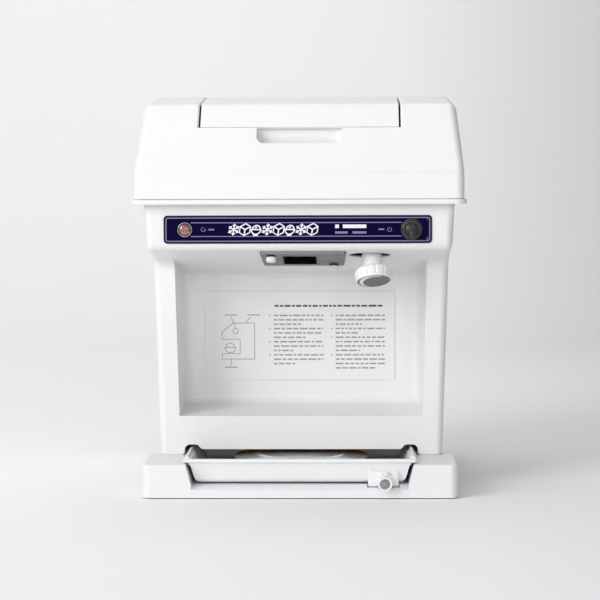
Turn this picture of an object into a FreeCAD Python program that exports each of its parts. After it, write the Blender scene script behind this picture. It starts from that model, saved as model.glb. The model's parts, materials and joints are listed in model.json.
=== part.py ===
"""Countertop shaved ice machine: a parametric document of separate pieces, in millimetres.

+X is to the machine's right as its user sees it, +Y to the back and +Z up. The origin is on the
surface that the machine stands on, under the middle of its outer box.
"""
import FreeCAD, Part
import math
import os
from types import SimpleNamespace

import Sketcher

os.makedirs("parts", exist_ok=True)
doc = FreeCAD.newDocument("ShavedIceMachine")

# Driving dimensions. Names ending in _y and _z are places along those axes, and _half is a half width.
SIZES = {
    "wall": 3.0,
    "gap": 0.3,
    # base and feet
    "foot_height": 1.2,
    "foot_radius": 10.0,
    "foot_x": 136.0,
    "foot_front_y": -150.0,
    "foot_rear_y": 135.0,
    "base_half": 165.2,
    "base_rear_half": 149.0,
    "base_front_y": -176.0,
    "base_step_y": -85.0,
    "base_rear_y": 164.0,
    "base_top_z": 36.0,
    "channel_half": 119.5,
    "channel_floor_half": 113.5,
    "channel_floor_z": 13.6,
    "channel_lip_z": 9.8,
    "channel_lip_depth": 11.0,
    "channel_rear_y": 30.0,
    # drain pan, its spout and its plate
    "pan_rim_half": 116.8,
    "pan_bottom_half": 109.5,
    "pan_rim_z": 40.4,
    "pan_bottom_z": 15.4,
    "pan_front_y": -166.0,
    "pan_rear_y": 14.0,
    "pan_wall": 2.0,
    "bead_x": 118.2,
    "bead_top_z": 44.2,
    "spout_x": 88.8,
    "spout_z": 17.0,
    "spout_radius": 7.5,
    "spout_bore": 5.6,
    "spout_tip_y": -186.0,
    "spout_left": 17.5,
    "spout_right": 14.5,
    "spout_plate_low_z": 11.7,
    "spout_plate_high_z": 28.0,
    "spout_plate_y": -167.4,
    "spout_plate_edge": 1.6,
    "spout_collar": 8.3,
    "spout_collar_y": -172.5,
    "drain_radius": 4.2,
    "drain_z": 22.2,
    "plate_radius": 72.5,
    "plate_y": -89.0,
    "plate_rim_z": 33.5,
    "plate_crown": 4.5,
    # body
    "body_half_bottom": 152.0,
    "body_half_top": 158.4,
    "body_front_y": -101.0,
    "body_rear_y": 169.0,
    "post_top_z": 240.0,
    "head_half_bottom": 159.5,
    "head_half_top": 162.0,
    "head_front_y": -163.0,
    "head_bottom_z": 260.0,
    "body_top_z": 325.0,
    "underside_angle": 13.5,
    "niche_half_front": 136.0,
    "niche_half_back": 130.5,
    "niche_half_front_low": 130.2,
    "niche_half_back_low": 126.5,
    "niche_back_y": -31.0,
    "niche_floor_z": 78.1,
    "niche_back_floor_z": 85.0,
    "sign_left": -107.5,
    "sign_right": 102.0,
    "sign_low_z": 110.0,
    "sign_high_z": 208.5,
    "sign_thick": 0.8,
    "sill_z": 42.3,
    "arch_x": 118.2,
    "arch_width": 15.0,
    "arch_top_z": 47.4,
    "seam_height": 1.0,
    "seam_depth": 1.2,
    "rear_opening_half": 118.0,
    "rear_opening_low_z": 66.0,
    "rear_opening_high_z": 286.0,
    # head cover and lid
    "cover_half": 171.6,
    "cover_front_y": -175.6,
    "cover_rear_y": 183.6,
    "cover_knee_z": 340.0,
    "cover_edge_y": -106.0,
    "cover_edge_z": 412.8,
    "cover_ridge_y": 10.0,
    "cover_ridge_z": 424.5,
    "cover_rear_z": 418.0,
    "flange_half": 174.0,
    "flange_overhang": 2.4,
    "flange_bottom_z": 307.0,
    "flange_top_z": 312.2,
    "cover_bottom_z": 313.0,
    "lid_half": 104.6,
    "lid_front_z": 387.9,
    "lid_rear_y": 8.0,
    "lid_depth": 10.0,
    "lid_gap": 1.0,
    "lid_side_gap": 2.0,
    "lid_edge_thick": 2.6,
    "lid_bevel": 3.0,
    "hinge_y": 4.0,
    "hinge_z": 418.6,
    "hinge_radius": 2.0,
    "scoop_half": 45.0,
    "scoop_low_z": 370.7,
    "scoop_back": 7.0,
    "scoop_corner": 7.5,
    # controls on the front
    "control_z": 281.0,
    "label_half": 139.7,
    "label_middle_x": -1.5,
    "label_height": 29.3,
    "label_thick": 0.8,
    "toggle_x": 117.0,
    "toggle_ring_radius": 11.4,
    "reset_x": -119.0,
    "reset_ring_radius": 7.6,
    # ice outlet and adjusting knob
    "outlet_front": 9.3,
    "outlet_rear": 75.0,
    "outlet_thick": 3.0,
    "outlet_seat": 0.02,
    "chute_half": 18.0,
    "chute_front": 21.0,
    "chute_rear": 66.0,
    "knob_x": 78.0,
    "knob_y": -144.0,
    "knob_z": 225.4,
    "knob_radius": 19.0,
    "knob_length": 14.0,
    "knob_face_radius": 17.0,
    "collar_radius": 10.5,
    "screw_radius": 3.0,
    "knob_oval_x": 73.8,
    "knob_oval_along": 31.9,
    "knob_oval_major": 21.9,
    "knob_oval_minor": 14.0,
    "knob_oval_lip": 1.0,
    # drive and cutting parts
    "drum_y": -36.0,
    "drum_radius": 66.0,
    "drum_inner": 62.0,
    "drum_top_z": 342.0,
    "deck_z": 266.0,
    "deck_thick": 4.0,
    "wing_radius": 60.0,
    "shaft_radius": 8.0,
    "pulley_radius": 54.0,
    "pulley_z": 249.0,
    "pulley_thick": 10.0,
    "motor_y": 89.0,
    "motor_radius": 55.0,
    "motor_bottom_z": 112.0,
    "motor_top_z": 234.0,
    "motor_shaft_radius": 5.0,
    "motor_pulley_radius": 12.0,
}


class Size:
    """A size that carries both its number and the sheet expression that gives it."""

    def __init__(self, value, text):
        self.value = float(value)
        self.text = text

    def _join(self, other, sign, value):
        return Size(value, f"({self.text} {sign} {size_of(other).text})")

    def __add__(self, other):
        return self._join(other, "+", self.value + size_of(other).value)

    def __sub__(self, other):
        return self._join(other, "-", self.value - size_of(other).value)

    def __mul__(self, other):
        return self._join(other, "*", self.value * size_of(other).value)

    def __truediv__(self, other):
        return self._join(other, "/", self.value / size_of(other).value)

    def __radd__(self, other):
        return size_of(other) + self

    def __rsub__(self, other):
        return size_of(other) - self

    def __rmul__(self, other):
        return size_of(other) * self

    def __neg__(self):
        return size_of(0) - self


def size_of(value):
    """Give a plain number the same form as a size from the sheet."""
    return value if isinstance(value, Size) else Size(value, f"({float(value):.6f})")


sheet = doc.addObject("Spreadsheet::Sheet", "Sizes")
for row, (alias, number) in enumerate(SIZES.items(), start=1):
    sheet.set(f"A{row}", alias)
    sheet.set(f"B{row}", str(number))
    sheet.setAlias(f"B{row}", alias)
doc.recompute()
S = SimpleNamespace(**{alias: Size(number, f"Sizes.{alias}") for alias, number in SIZES.items()})
nodes = []


# ---------------------------------------------------------------- building helpers

def bind(obj, prop, size):
    """Tie one property of an object to the sheet."""
    obj.setExpression(prop, size_of(size).text)


def node(obj, name):
    """Name a finished sub-part: its label is its file name."""
    obj.Label = name
    nodes.append(obj)
    return obj


def turn(value):
    """An outline's corner as (u, v, radius)."""
    u, v = value[0], value[1]
    radius = value[2] if len(value) > 2 else 0
    return size_of(u), size_of(v), size_of(radius)


def inset(points, amount, open_edges=()):
    """Move each edge of an anticlockwise outline inwards, and the open ones outwards."""
    corners = [turn(point) for point in points]
    count = len(corners)
    normals = []
    for i in range(count):
        start, end = corners[i], corners[(i + 1) % count]
        along = FreeCAD.Vector(end[0].value - start[0].value, end[1].value - start[1].value, 0).normalize()
        side = -1 if i in open_edges else 1
        normals.append((-along.y, along.x, side))
    moved = []
    for i in range(count):
        ax, ay, a_side = normals[i - 1]
        bx, by, b_side = normals[i]
        det = ax * by - ay * bx
        shift_u = (a_side * by - b_side * ay) / det
        shift_v = (ax * b_side - bx * a_side) / det
        u, v, radius = corners[i]
        if radius.value > 0:
            radius = radius - amount if det > 0 else radius + amount
        if radius.value < 0.2:
            radius = size_of(0)
        moved.append((u + shift_u * size_of(amount), v + shift_v * size_of(amount), radius))
    return moved


def new_sketch(body, plane, offset):
    """An empty sketch on one of the body's own origin planes, at an offset along its normal."""
    sketch = body.newObject("Sketcher::SketchObject", body.Name + "Sketch")
    support = [part for part in body.Origin.OriginFeatures if part.Role == plane + "_Plane"][0]
    sketch.AttachmentSupport = [(support, "")]
    sketch.MapMode = "FlatFace"
    bind(sketch, "AttachmentOffset.Base.z", offset)
    return sketch


def draw(sketch, points):
    """Draw a closed outline. Every corner is held by the sheet, and rounded ones by a tangent arc."""
    corners = [turn(point) for point in points]
    flat = [FreeCAD.Vector(u.value, v.value, 0) for u, v, _ in corners]
    count = len(corners)
    trims = []
    for i in range(count):
        back = (flat[i - 1] - flat[i]).normalize()
        ahead = (flat[(i + 1) % count] - flat[i]).normalize()
        trims.append(corners[i][2].value / math.tan(back.getAngle(ahead) / 2) if corners[i][2].value else 0)
    lines = []
    for i in range(count):
        j = (i + 1) % count
        along = (flat[j] - flat[i]).normalize()
        line = Part.LineSegment(flat[i] + along * trims[i], flat[j] - along * trims[j])
        lines.append(sketch.addGeometry(line, False))
    for i, (u, v, radius) in enumerate(corners):
        before, after = lines[i - 1], lines[i]
        if radius.value:
            holder = sketch.addGeometry(Part.Point(flat[i]), True)
            _round_corner(sketch, flat, i, radius, before, after)
            sketch.addConstraint(Sketcher.Constraint("PointOnObject", holder, 1, before))
            sketch.addConstraint(Sketcher.Constraint("PointOnObject", holder, 1, after))
        else:
            holder = after
            sketch.addConstraint(Sketcher.Constraint("Coincident", before, 2, after, 1))
        for kind, place in (("DistanceX", u), ("DistanceY", v)):
            index = sketch.addConstraint(Sketcher.Constraint(kind, holder, 1, place.value))
            bind(sketch, f"Constraints[{index}]", place)


def _round_corner(sketch, flat, i, radius, before, after):
    """Add the tangent arc of one rounded corner."""
    back = (flat[i - 1] - flat[i]).normalize()
    ahead = (flat[(i + 1) % len(flat)] - flat[i]).normalize()
    half = back.getAngle(ahead) / 2
    centre = flat[i] + (back + ahead).normalize() * (radius.value / math.sin(half))
    reach = radius.value / math.tan(half)
    entry = flat[i] + back * reach - centre
    leave = flat[i] + ahead * reach - centre
    left_turn = back.cross(ahead).z < 0
    first, last = (entry, leave) if left_turn else (leave, entry)
    circle = Part.Circle(centre, FreeCAD.Vector(0, 0, 1), radius.value)
    arc = Part.ArcOfCircle(circle, math.atan2(first.y, first.x), math.atan2(last.y, last.x))
    arc_id = sketch.addGeometry(arc, False)
    entry_end, leave_end = (1, 2) if left_turn else (2, 1)
    sketch.addConstraint(Sketcher.Constraint("Tangent", before, 2, arc_id, entry_end))
    sketch.addConstraint(Sketcher.Constraint("Tangent", after, 1, arc_id, leave_end))
    index = sketch.addConstraint(Sketcher.Constraint("Radius", arc_id, radius.value))
    bind(sketch, f"Constraints[{index}]", radius)


def draw_circle(sketch, u, v, radius):
    """Draw a circle held by the sheet."""
    u, v, radius = size_of(u), size_of(v), size_of(radius)
    circle = Part.Circle(FreeCAD.Vector(u.value, v.value, 0), FreeCAD.Vector(0, 0, 1), radius.value)
    ring = sketch.addGeometry(circle, False)
    for kind, place in (("DistanceX", u), ("DistanceY", v)):
        index = sketch.addConstraint(Sketcher.Constraint(kind, ring, 3, place.value))
        bind(sketch, f"Constraints[{index}]", place)
    index = sketch.addConstraint(Sketcher.Constraint("Radius", ring, radius.value))
    bind(sketch, f"Constraints[{index}]", radius)


def plane_offset(plane, low, high):
    """Where a sketch starts so that its pad fills low to high; the XZ plane looks along -Y."""
    return -size_of(high) if plane == "XZ" else size_of(low)


def prism(name, plane, points, low, high):
    """A body with one outline padded from low to high along the plane's axis."""
    body = doc.addObject("PartDesign::Body", name)
    sketch = new_sketch(body, plane, plane_offset(plane, low, high))
    draw(sketch, points)
    pad = body.newObject("PartDesign::Pad", name + "Pad")
    pad.Profile = sketch
    bind(pad, "Length", size_of(high) - low)
    return body


def pocket(body, plane, shape, low, high):
    """Cut an outline, or a circle given as (u, v, radius), from low to high out of a body."""
    sketch = new_sketch(body, plane, plane_offset(plane, low, high))
    if isinstance(shape, tuple):
        draw_circle(sketch, *shape)
    else:
        draw(sketch, shape)
    cut_out = body.newObject("PartDesign::Pocket", body.Name + "Pocket")
    cut_out.Profile = sketch
    cut_out.Reversed = True
    bind(cut_out, "Length", size_of(high) - low)
    return cut_out


def turned(name, points, centre=(0, 0, 0), direction=(0, 0, 1)):
    """A body turned about its own Z axis from an outline of (radius, height) corners."""
    body = doc.addObject("PartDesign::Body", name)
    sketch = new_sketch(body, "XZ", 0)
    draw(sketch, points)
    spin = body.newObject("PartDesign::Revolution", name + "Turn")
    spin.Profile = sketch
    spin.ReferenceAxis = (sketch, ["V_Axis"])
    spin.Angle = 360
    place(body, centre, direction)
    return body


def place(obj, centre, direction=(0, 0, 1)):
    """Stand an object on a point, with its own Z axis along a direction."""
    rotation = FreeCAD.Rotation(FreeCAD.Vector(0, 0, 1), FreeCAD.Vector(*direction))
    sizes = [size_of(value) for value in centre]
    obj.Placement = FreeCAD.Placement(FreeCAD.Vector(*[size.value for size in sizes]), rotation)
    for letter, size in zip("xyz", sizes):
        bind(obj, "Placement.Base." + letter, size)


def ring_outline(inner, outer, low, high):
    """The section of a plain ring, for turned()."""
    return [(inner, low), (outer, low), (outer, high), (inner, high)]


def rectangle(low_u, high_u, low_v, high_v, radius=0):
    """An anticlockwise rectangle."""
    return [(low_u, low_v, radius), (high_u, low_v, radius), (high_u, high_v, radius), (low_u, high_v, radius)]


def box(name, x, y, z):
    """A box between two places along each axis."""
    block = doc.addObject("Part::Box", name)
    for prop, (low, high) in zip(("Length", "Width", "Height"), (x, y, z)):
        bind(block, prop, size_of(high) - low)
    place(block, (x[0], y[0], z[0]))
    return block


def rod(name, radius, length, centre, direction=(0, 0, 1)):
    """A cylinder that starts at a point."""
    cylinder = doc.addObject("Part::Cylinder", name)
    bind(cylinder, "Radius", radius)
    bind(cylinder, "Height", length)
    place(cylinder, centre, direction)
    return cylinder


def fuse(name, *shapes):
    """Join shapes that touch into one solid."""
    joined = doc.addObject("Part::MultiFuse", name)
    joined.Shapes = list(shapes)
    joined.Refine = True
    return joined


def cut(name, base, *tools):
    """Take one or more tools away from a shape."""
    result = doc.addObject("Part::Cut", name)
    result.Base = base
    result.Tool = tools[0] if len(tools) == 1 else group(name + "Tools", *tools)
    result.Refine = True
    return result


def common(name, first, second):
    """Keep what two shapes share."""
    result = doc.addObject("Part::Common", name)
    result.Base = first
    result.Tool = second
    result.Refine = True
    return result


def group(name, *shapes):
    """Hold several shapes as one compound."""
    compound = doc.addObject("Part::Compound", name)
    compound.Links = list(shapes)
    return compound


def rounded(name, base, radius, wanted):
    """Fillet the edges of a shape that a test picks."""
    doc.recompute()
    fillet = doc.addObject("Part::Fillet", name)
    fillet.Base = base
    amount = size_of(radius).value
    picked = [i for i, edge in enumerate(base.Shape.Edges, start=1) if wanted(edge)]
    fillet.Edges = [(i, amount, amount) for i in picked]
    return fillet


def on_side(edge, least_half):
    """Whether an edge follows a shape's left or right outline, and isn't a seam along its side."""
    if len(edge.Vertexes) != 2 or min(abs(vertex.X) for vertex in edge.Vertexes) < least_half:
        return False
    first, last = edge.Vertexes
    return first.X * last.X > 0 and math.hypot(last.X - first.X, last.Z - first.Z) > 0.01


def level_edge(edge, z):
    """Whether both ends of an edge are at height z."""
    return all(abs(vertex.Z - size_of(z).value) < 0.01 for vertex in edge.Vertexes)


def front_edge(edge, y):
    """Whether both ends of an edge are at place y."""
    return all(abs(vertex.Y - size_of(y).value) < 0.01 for vertex in edge.Vertexes)


def screws(name, places, head_radius, head_height, shank_radius, shank_length, direction):
    """A group of separate screws. Each place is the seat under a head, and direction leaves the hole."""
    outline = [
        (0, -shank_length), (shank_radius, -shank_length), (shank_radius, 0), (head_radius, 0),
        (head_radius, head_height, head_height * 0.45), (0, head_height),
    ]
    bodies = [
        turned(f"{name}_{i}", outline, centre, direction) for i, centre in enumerate(places, start=1)
    ]
    return node(group(name + "_group", *bodies), name)


# ---------------------------------------------------------------- base, feet, drain pan and plate

def make_base():
    """The base: a wide front step, a narrower rear part, and the channel that the pan slides in."""
    block = prism("BaseBlock", "XY", [
        (-S.base_half, S.base_front_y, 9), (S.base_half, S.base_front_y, 9), (S.base_half, S.base_step_y, 6),
        (S.base_rear_half, S.base_step_y), (S.base_rear_half, S.base_rear_y, 8),
        (-S.base_rear_half, S.base_rear_y, 8), (-S.base_rear_half, S.base_step_y),
        (-S.base_half, S.base_step_y, 6),
    ], S.foot_height, S.base_top_z)
    soft = rounded("BaseSoft", block, 3.0, lambda edge: level_edge(edge, S.base_top_z))
    channel = prism("BaseChannel", "XZ", [
        (-S.channel_floor_half, S.channel_floor_z), (S.channel_floor_half, S.channel_floor_z),
        (S.channel_half, S.base_top_z), (S.channel_half, S.base_top_z + 9), (-S.channel_half, S.base_top_z + 9),
        (-S.channel_half, S.base_top_z),
    ], S.base_front_y - 9, S.channel_rear_y)
    lip = prism("BaseLip", "YZ", [
        (S.base_front_y - 9, S.channel_lip_z), (S.base_front_y, S.channel_lip_z),
        (S.base_front_y + S.channel_lip_depth, S.channel_floor_z),
        (S.base_front_y + S.channel_lip_depth, S.channel_floor_z + 4),
        (S.base_front_y - 9, S.channel_floor_z + 4),
    ], -S.channel_floor_half, S.channel_floor_half)
    spout_room = box(
        "SpoutRoom", (S.spout_x - S.spout_left - 1, S.spout_x + S.spout_right + 1),
        (S.pan_front_y - 5.5, S.pan_front_y + 5.5), (S.spout_plate_low_z - 0.8, S.channel_floor_z + 4))
    spout_groove = rod("SpoutGroove", S.spout_collar + 0.8, 26, (
        S.spout_x, S.base_front_y - 9, S.spout_z), (0, 1, 0))
    hollows = []
    for name, side in (("Left", -1), ("Right", 1)):
        inner = S.channel_half + S.wall
        outer = S.base_rear_half - S.wall
        low, high = (inner * side, outer * side) if side > 0 else (outer * side, inner * side)
        hollows.append(box(
            f"Base{name}Hollow", (low, high), (S.base_front_y + S.wall * 2, S.base_rear_y - S.wall),
            (S.foot_height - 5, S.base_top_z - S.wall)))
    rear = box(
        "BaseRearHollow", (-S.channel_floor_half, S.channel_floor_half),
        (S.channel_rear_y + S.wall, S.base_rear_y - S.wall), (S.foot_height - 5, S.base_top_z - S.wall))
    shell = cut("BaseShell", soft, channel, lip, spout_room, spout_groove, *hollows, rear)
    bosses = []
    holes = []
    for i, (x, y) in enumerate(foot_places()):
        bosses.append(rod(f"BaseBoss{i}", 8, S.base_top_z - S.wall - S.foot_height + 1, (x, y, S.foot_height)))
        holes.append(rod(f"BaseFootHole{i}", 3, 12, (x, y, S.foot_height - 1)))
    for i, (x, y) in enumerate(base_screw_places()):
        holes.append(rod(f"BaseScrewHole{i}", 2.2, 20, (x, y, S.base_top_z - 12)))
    node(cut("BasePart", fuse("BaseWithBosses", shell, *bosses), *holes), "base")


def foot_places():
    """Middles of the four feet."""
    return [(x, y) for x in (-S.foot_x, S.foot_x) for y in (S.foot_front_y, S.foot_rear_y)]


def base_screw_places():
    """Middles of the four screws that hold the body on the base."""
    return [(x, y) for x in (-S.foot_x + 2, S.foot_x - 2) for y in (S.body_front_y + 30, S.foot_rear_y - 40)]


def make_feet():
    """The rubber feet and the screws that hold the body from below."""
    outline = [
        (0, 0), (S.foot_radius, 0, 0.8), (S.foot_radius, S.foot_height), (3, S.foot_height),
        (3, S.foot_height + 9), (0, S.foot_height + 9),
    ]
    feet = [turned(f"Foot{i}", outline, (x, y, 0)) for i, (x, y) in enumerate(foot_places())]
    node(group("Feet", *feet), "rubber_feet")
    seats = [(x, y, S.base_top_z - S.wall) for x, y in base_screw_places()]
    screws("base_screws", seats, 4.2, 2.6, 2.2, 9.0, (0, 0, -1))


def pan_section():
    """The pan's outline seen from the front."""
    return [
        (-S.pan_bottom_half, S.pan_bottom_z, 9), (S.pan_bottom_half, S.pan_bottom_z, 9),
        (S.pan_rim_half, S.pan_rim_z), (-S.pan_rim_half, S.pan_rim_z),
    ]


def pan_profile():
    """The pan's outline seen from the side."""
    return [
        (S.pan_front_y + 4.5, S.pan_bottom_z, 6), (S.pan_rear_y - 3, S.pan_bottom_z, 6),
        (S.pan_rear_y, S.pan_rim_z), (S.pan_front_y, S.pan_rim_z),
    ]


def make_pan():
    """The drain pan: a tray with ridged side rims that hook over the base, and ribs for the plate."""
    outer = common(
        "PanOuter", prism("PanSection", "XZ", pan_section(), S.pan_front_y - 5, S.pan_rear_y + 5),
        prism("PanProfile", "YZ", pan_profile(), -S.channel_half, S.channel_half))
    inner = common(
        "PanInner",
        prism("PanInnerSection", "XZ", inset(pan_section(), S.pan_wall, (2,)), S.pan_front_y, S.pan_rear_y),
        prism("PanInnerProfile", "YZ", inset(pan_profile(), S.pan_wall, (2,)), -S.channel_half, S.channel_half))
    tray = cut("PanTray", outer, inner)
    beads = []
    for side in (-1, 1):
        points = [
            (S.bead_x - 3.4, S.pan_rim_z - 6), (S.bead_x - 1.7, S.pan_rim_z - 6), (S.bead_x, S.bead_top_z - 2.4),
            (S.bead_x + 4.0, S.base_top_z + S.gap), (S.bead_x + 6.0, S.base_top_z + S.gap),
            (S.bead_x + 1.1, S.bead_top_z, 1.1), (S.bead_x - 1.1, S.bead_top_z, 1.1),
        ]
        if side < 0:
            points = [(-u, *rest) for u, *rest in reversed(points)]
        beads.append(prism(f"PanBead{side + 1}", "XZ", points, S.pan_front_y + 1, S.pan_rear_y))
    lip = prism("PanLip", "YZ", [
        (S.pan_front_y - 2.2, S.pan_rim_z - 3.4, 1), (S.pan_front_y + 2.5, S.pan_rim_z - 3.4),
        (S.pan_front_y + 2.5, S.pan_rim_z + 0.4, 1), (S.pan_front_y - 2.2, S.pan_rim_z + 0.4, 1.6),
    ], -S.bead_x - 2.5, S.bead_x + 2.5)
    ribs = []
    for i in range(4):
        angle = math.radians(45 + 90 * i)
        x = (S.plate_radius - 8) * math.cos(angle)
        y = S.plate_y + (S.plate_radius - 8) * math.sin(angle)
        ribs.append(rod(f"PanRib{i}", 4, S.plate_rim_z - S.pan_bottom_z - 1, (x, y, S.pan_bottom_z + 1)))
    whole = fuse("PanWhole", tray, *beads, lip, *ribs)
    drain = rod("PanDrainHole", S.drain_radius, 20, (S.spout_x, S.pan_front_y - 4, S.drain_z), (0, 1, 0))
    node(cut("PanPart", whole, drain), "drain_pan")


def make_spout():
    """The hose spout: a plate on the pan's front wall, an upright boss and a forward pipe."""
    y = S.pan_front_y
    pad = prism("SpoutPad", "XZ", rectangle(
        S.spout_x - S.spout_left, S.spout_x + S.spout_right, S.spout_plate_low_z, S.spout_plate_high_z, 2.0),
        S.spout_plate_y, y + 4.2)
    soft_pad = rounded(
        "SpoutPadSoft", pad, S.spout_plate_edge, lambda edge: front_edge(edge, S.spout_plate_y))
    boss_radius = S.spout_radius - 0.6
    boss = rod("SpoutBoss", boss_radius, S.spout_plate_high_z - S.spout_z, (
        S.spout_x, S.spout_collar_y + 0.3 + boss_radius, S.spout_z))
    soft_boss = rounded("SpoutBossSoft", boss, 2.5, lambda edge: level_edge(edge, S.spout_plate_high_z))
    collar = rod("SpoutCollar", S.spout_collar, S.spout_plate_y - S.spout_collar_y, (
        S.spout_x, S.spout_collar_y, S.spout_z), (0, 1, 0))
    pipe = rod("SpoutPipe", S.spout_radius, S.spout_plate_y - S.spout_tip_y, (
        S.spout_x, S.spout_tip_y, S.spout_z), (0, 1, 0))
    wall = common(
        "SpoutWallCut", prism("SpoutWallSection", "XZ", pan_section(), y - 5, y + 40),
        prism("SpoutWallProfile", "YZ", pan_profile(), -S.channel_half, S.channel_half))
    bore = rod("SpoutBoreTool", S.spout_bore, y - 0.5 - S.spout_tip_y, (
        S.spout_x, S.spout_tip_y - 1, S.spout_z), (0, 1, 0))
    lift = rod("SpoutLiftTool", S.drain_radius, 40, (S.spout_x, y - 6, S.drain_z), (0, 1, 0))
    below = box("SpoutBelowTool", (S.spout_x - 30, S.spout_x + 30), (y, y + 30), (0, S.pan_bottom_z + 2))
    whole = fuse("SpoutWhole", soft_pad, soft_boss, collar, pipe)
    node(cut("SpoutPart", whole, wall, bore, lift, below), "drain_spout")


def make_plate():
    """The round plate in the pan, pressed with a low dome and two ring ridges."""
    rim, crown = S.plate_rim_z, S.plate_crown
    outline = [
        (0, rim + crown - 1.2), (20, rim + crown - 1.4), (44, rim + crown - 2.3, 1), (47, rim + crown - 1.3, 1),
        (50, rim + crown - 2.7, 1), (S.plate_radius - 3, rim), (S.plate_radius, rim, 0.5),
        (S.plate_radius, rim + 1.4, 0.5), (S.plate_radius - 3, rim + 1.2, 1), (50, rim + crown - 1.4, 1),
        (47, rim + crown, 1), (44, rim + crown - 1.1, 1), (20, rim + crown - 0.2), (0, rim + crown),
    ]
    node(turned("PlatePart", outline, (0, S.plate_y, 0)), "bowl_plate")


# ---------------------------------------------------------------- body shell and its covers

SLOPE = math.tan(math.radians(SIZES["underside_angle"]))
underside_normal = (0, -math.sin(math.radians(SIZES["underside_angle"])), -math.cos(
    math.radians(SIZES["underside_angle"])))


def underside_z(y):
    """Height of the head's slanted underside at a place along Y."""
    return S.head_bottom_z - (size_of(y) - S.head_front_y) * SLOPE


def on_underside(x, along, below=0.0):
    """A point on the underside, by its distance back from the head's front edge."""
    angle = math.radians(SIZES["underside_angle"])
    return (
        x, S.head_front_y + size_of(along) * math.cos(angle) - size_of(below) * math.sin(angle),
        S.head_bottom_z - size_of(along) * math.sin(angle) - size_of(below) * math.cos(angle))


def body_section():
    """The body's outline seen from the front."""
    return [
        (-S.body_half_bottom, S.base_top_z), (S.body_half_bottom, S.base_top_z),
        (S.body_half_top, S.post_top_z, 40), (S.head_half_bottom, S.head_bottom_z, 40),
        (S.head_half_top + 1, S.body_top_z), (-S.head_half_top - 1, S.body_top_z),
        (-S.head_half_bottom, S.head_bottom_z, 40), (-S.body_half_top, S.post_top_z, 40),
    ]


def body_profile():
    """The body's outline seen from the side."""
    return [
        (S.body_front_y, S.base_top_z), (S.body_rear_y, S.base_top_z), (S.body_rear_y, S.body_top_z),
        (S.head_front_y, S.body_top_z), (S.head_front_y, S.head_bottom_z, 9),
        (S.body_front_y, underside_z(S.body_front_y), 13),
    ]


def niche_plan(front_half, back_half):
    """The niche seen from above at one height: it narrows towards the back."""
    reach = S.head_front_y - S.body_front_y - 5
    widen = (front_half - back_half) / (S.niche_back_y - S.body_front_y)
    front_y = S.body_front_y + reach
    return [
        (-front_half + widen * reach, front_y), (front_half - widen * reach, front_y),
        (back_half, S.niche_back_y, 9), (-back_half, S.niche_back_y, 9),
    ]


def niche_profile():
    """The niche's outline seen from the side."""
    rise = (S.niche_back_floor_z - S.niche_floor_z) / (S.niche_back_y - S.body_front_y)
    front_y = S.body_front_y - 25
    return [
        (front_y, S.niche_floor_z - rise * 25), (S.niche_back_y, S.niche_back_floor_z, 9),
        (S.niche_back_y, underside_z(S.niche_back_y), 9), (front_y, underside_z(front_y)),
    ]


def casing(name, amount):
    """The body's outer form, or the same form drawn in by the wall."""
    section, profile = body_section(), body_profile()
    if amount.value:
        section = inset(section, amount, (4,))
        profile = inset(profile, amount, (2,))
    solid = common(
        name + "Form", prism(name + "Section", "XZ", section, S.head_front_y - 9, S.body_rear_y + 9),
        prism(name + "Profile", "YZ", profile, -S.head_half_top - 9, S.head_half_top + 9))
    low, high = S.base_top_z + amount, S.body_top_z + amount

    def wanted(edge):
        return on_side(edge, 145) and not level_edge(edge, low) and not level_edge(edge, high)
    return rounded(name + "Soft", solid, size_of(8) - amount, wanted)


def niche(name, amount):
    """The space between the posts, or the same space with the wall added round it."""
    profile = niche_profile()
    if amount.value:
        profile = inset(profile, -amount)
    slices = []
    for level, height, front_half, back_half in (
            ("Low", S.niche_floor_z - 30, S.niche_half_front_low, S.niche_half_back_low),
            ("High", S.post_top_z + 30, S.niche_half_front, S.niche_half_back)):
        plan = niche_plan(front_half, back_half)
        outline = doc.addObject("Sketcher::SketchObject", name + level)
        draw(outline, inset(plan, -amount) if amount.value else plan)
        bind(outline, "Placement.Base.z", height)
        slices.append(outline)
    walls = doc.addObject("Part::Loft", name + "Walls")
    walls.Sections = slices
    walls.Solid = True
    walls.Ruled = True
    return common(
        name, walls, prism(name + "Profile", "YZ", profile, -S.niche_half_front - 19, S.niche_half_front + 19))


def sill_outline():
    """The cut along the front's lower edge: a low arch over each pan bead, and the sill between them."""
    half = S.arch_width / 2
    flare = 2.2
    right = [
        (S.arch_x + half + flare, S.base_top_z - 3), (S.arch_x + half + flare, S.base_top_z),
        (S.arch_x + half, S.base_top_z + 3.5, 4), (S.arch_x + half, S.arch_top_z, 6),
        (S.arch_x - half + 1, S.arch_top_z, 5), (S.arch_x - half - 3, S.sill_z, 5),
    ]
    left = [(-u, *rest) for u, *rest in reversed(right)]
    return right + left


def seam_groove():
    """A shallow groove all round the foot of the body, where it meets the base."""
    y_low, y_high = S.body_front_y, S.body_rear_y
    low, high = S.base_top_z - 2, S.base_top_z + S.seam_height
    depth = S.seam_depth
    around = box(
        "SeamAround", (-S.body_half_bottom - 5, S.body_half_bottom + 5), (y_low - 5, y_high + 5), (low, high))
    half = S.body_half_bottom - depth
    core = prism("SeamCore", "XY", rectangle(
        -half, half, y_low + depth, y_high - depth, 7), low - 1, high + 1)
    return cut("SeamGroove", around, core)


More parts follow.
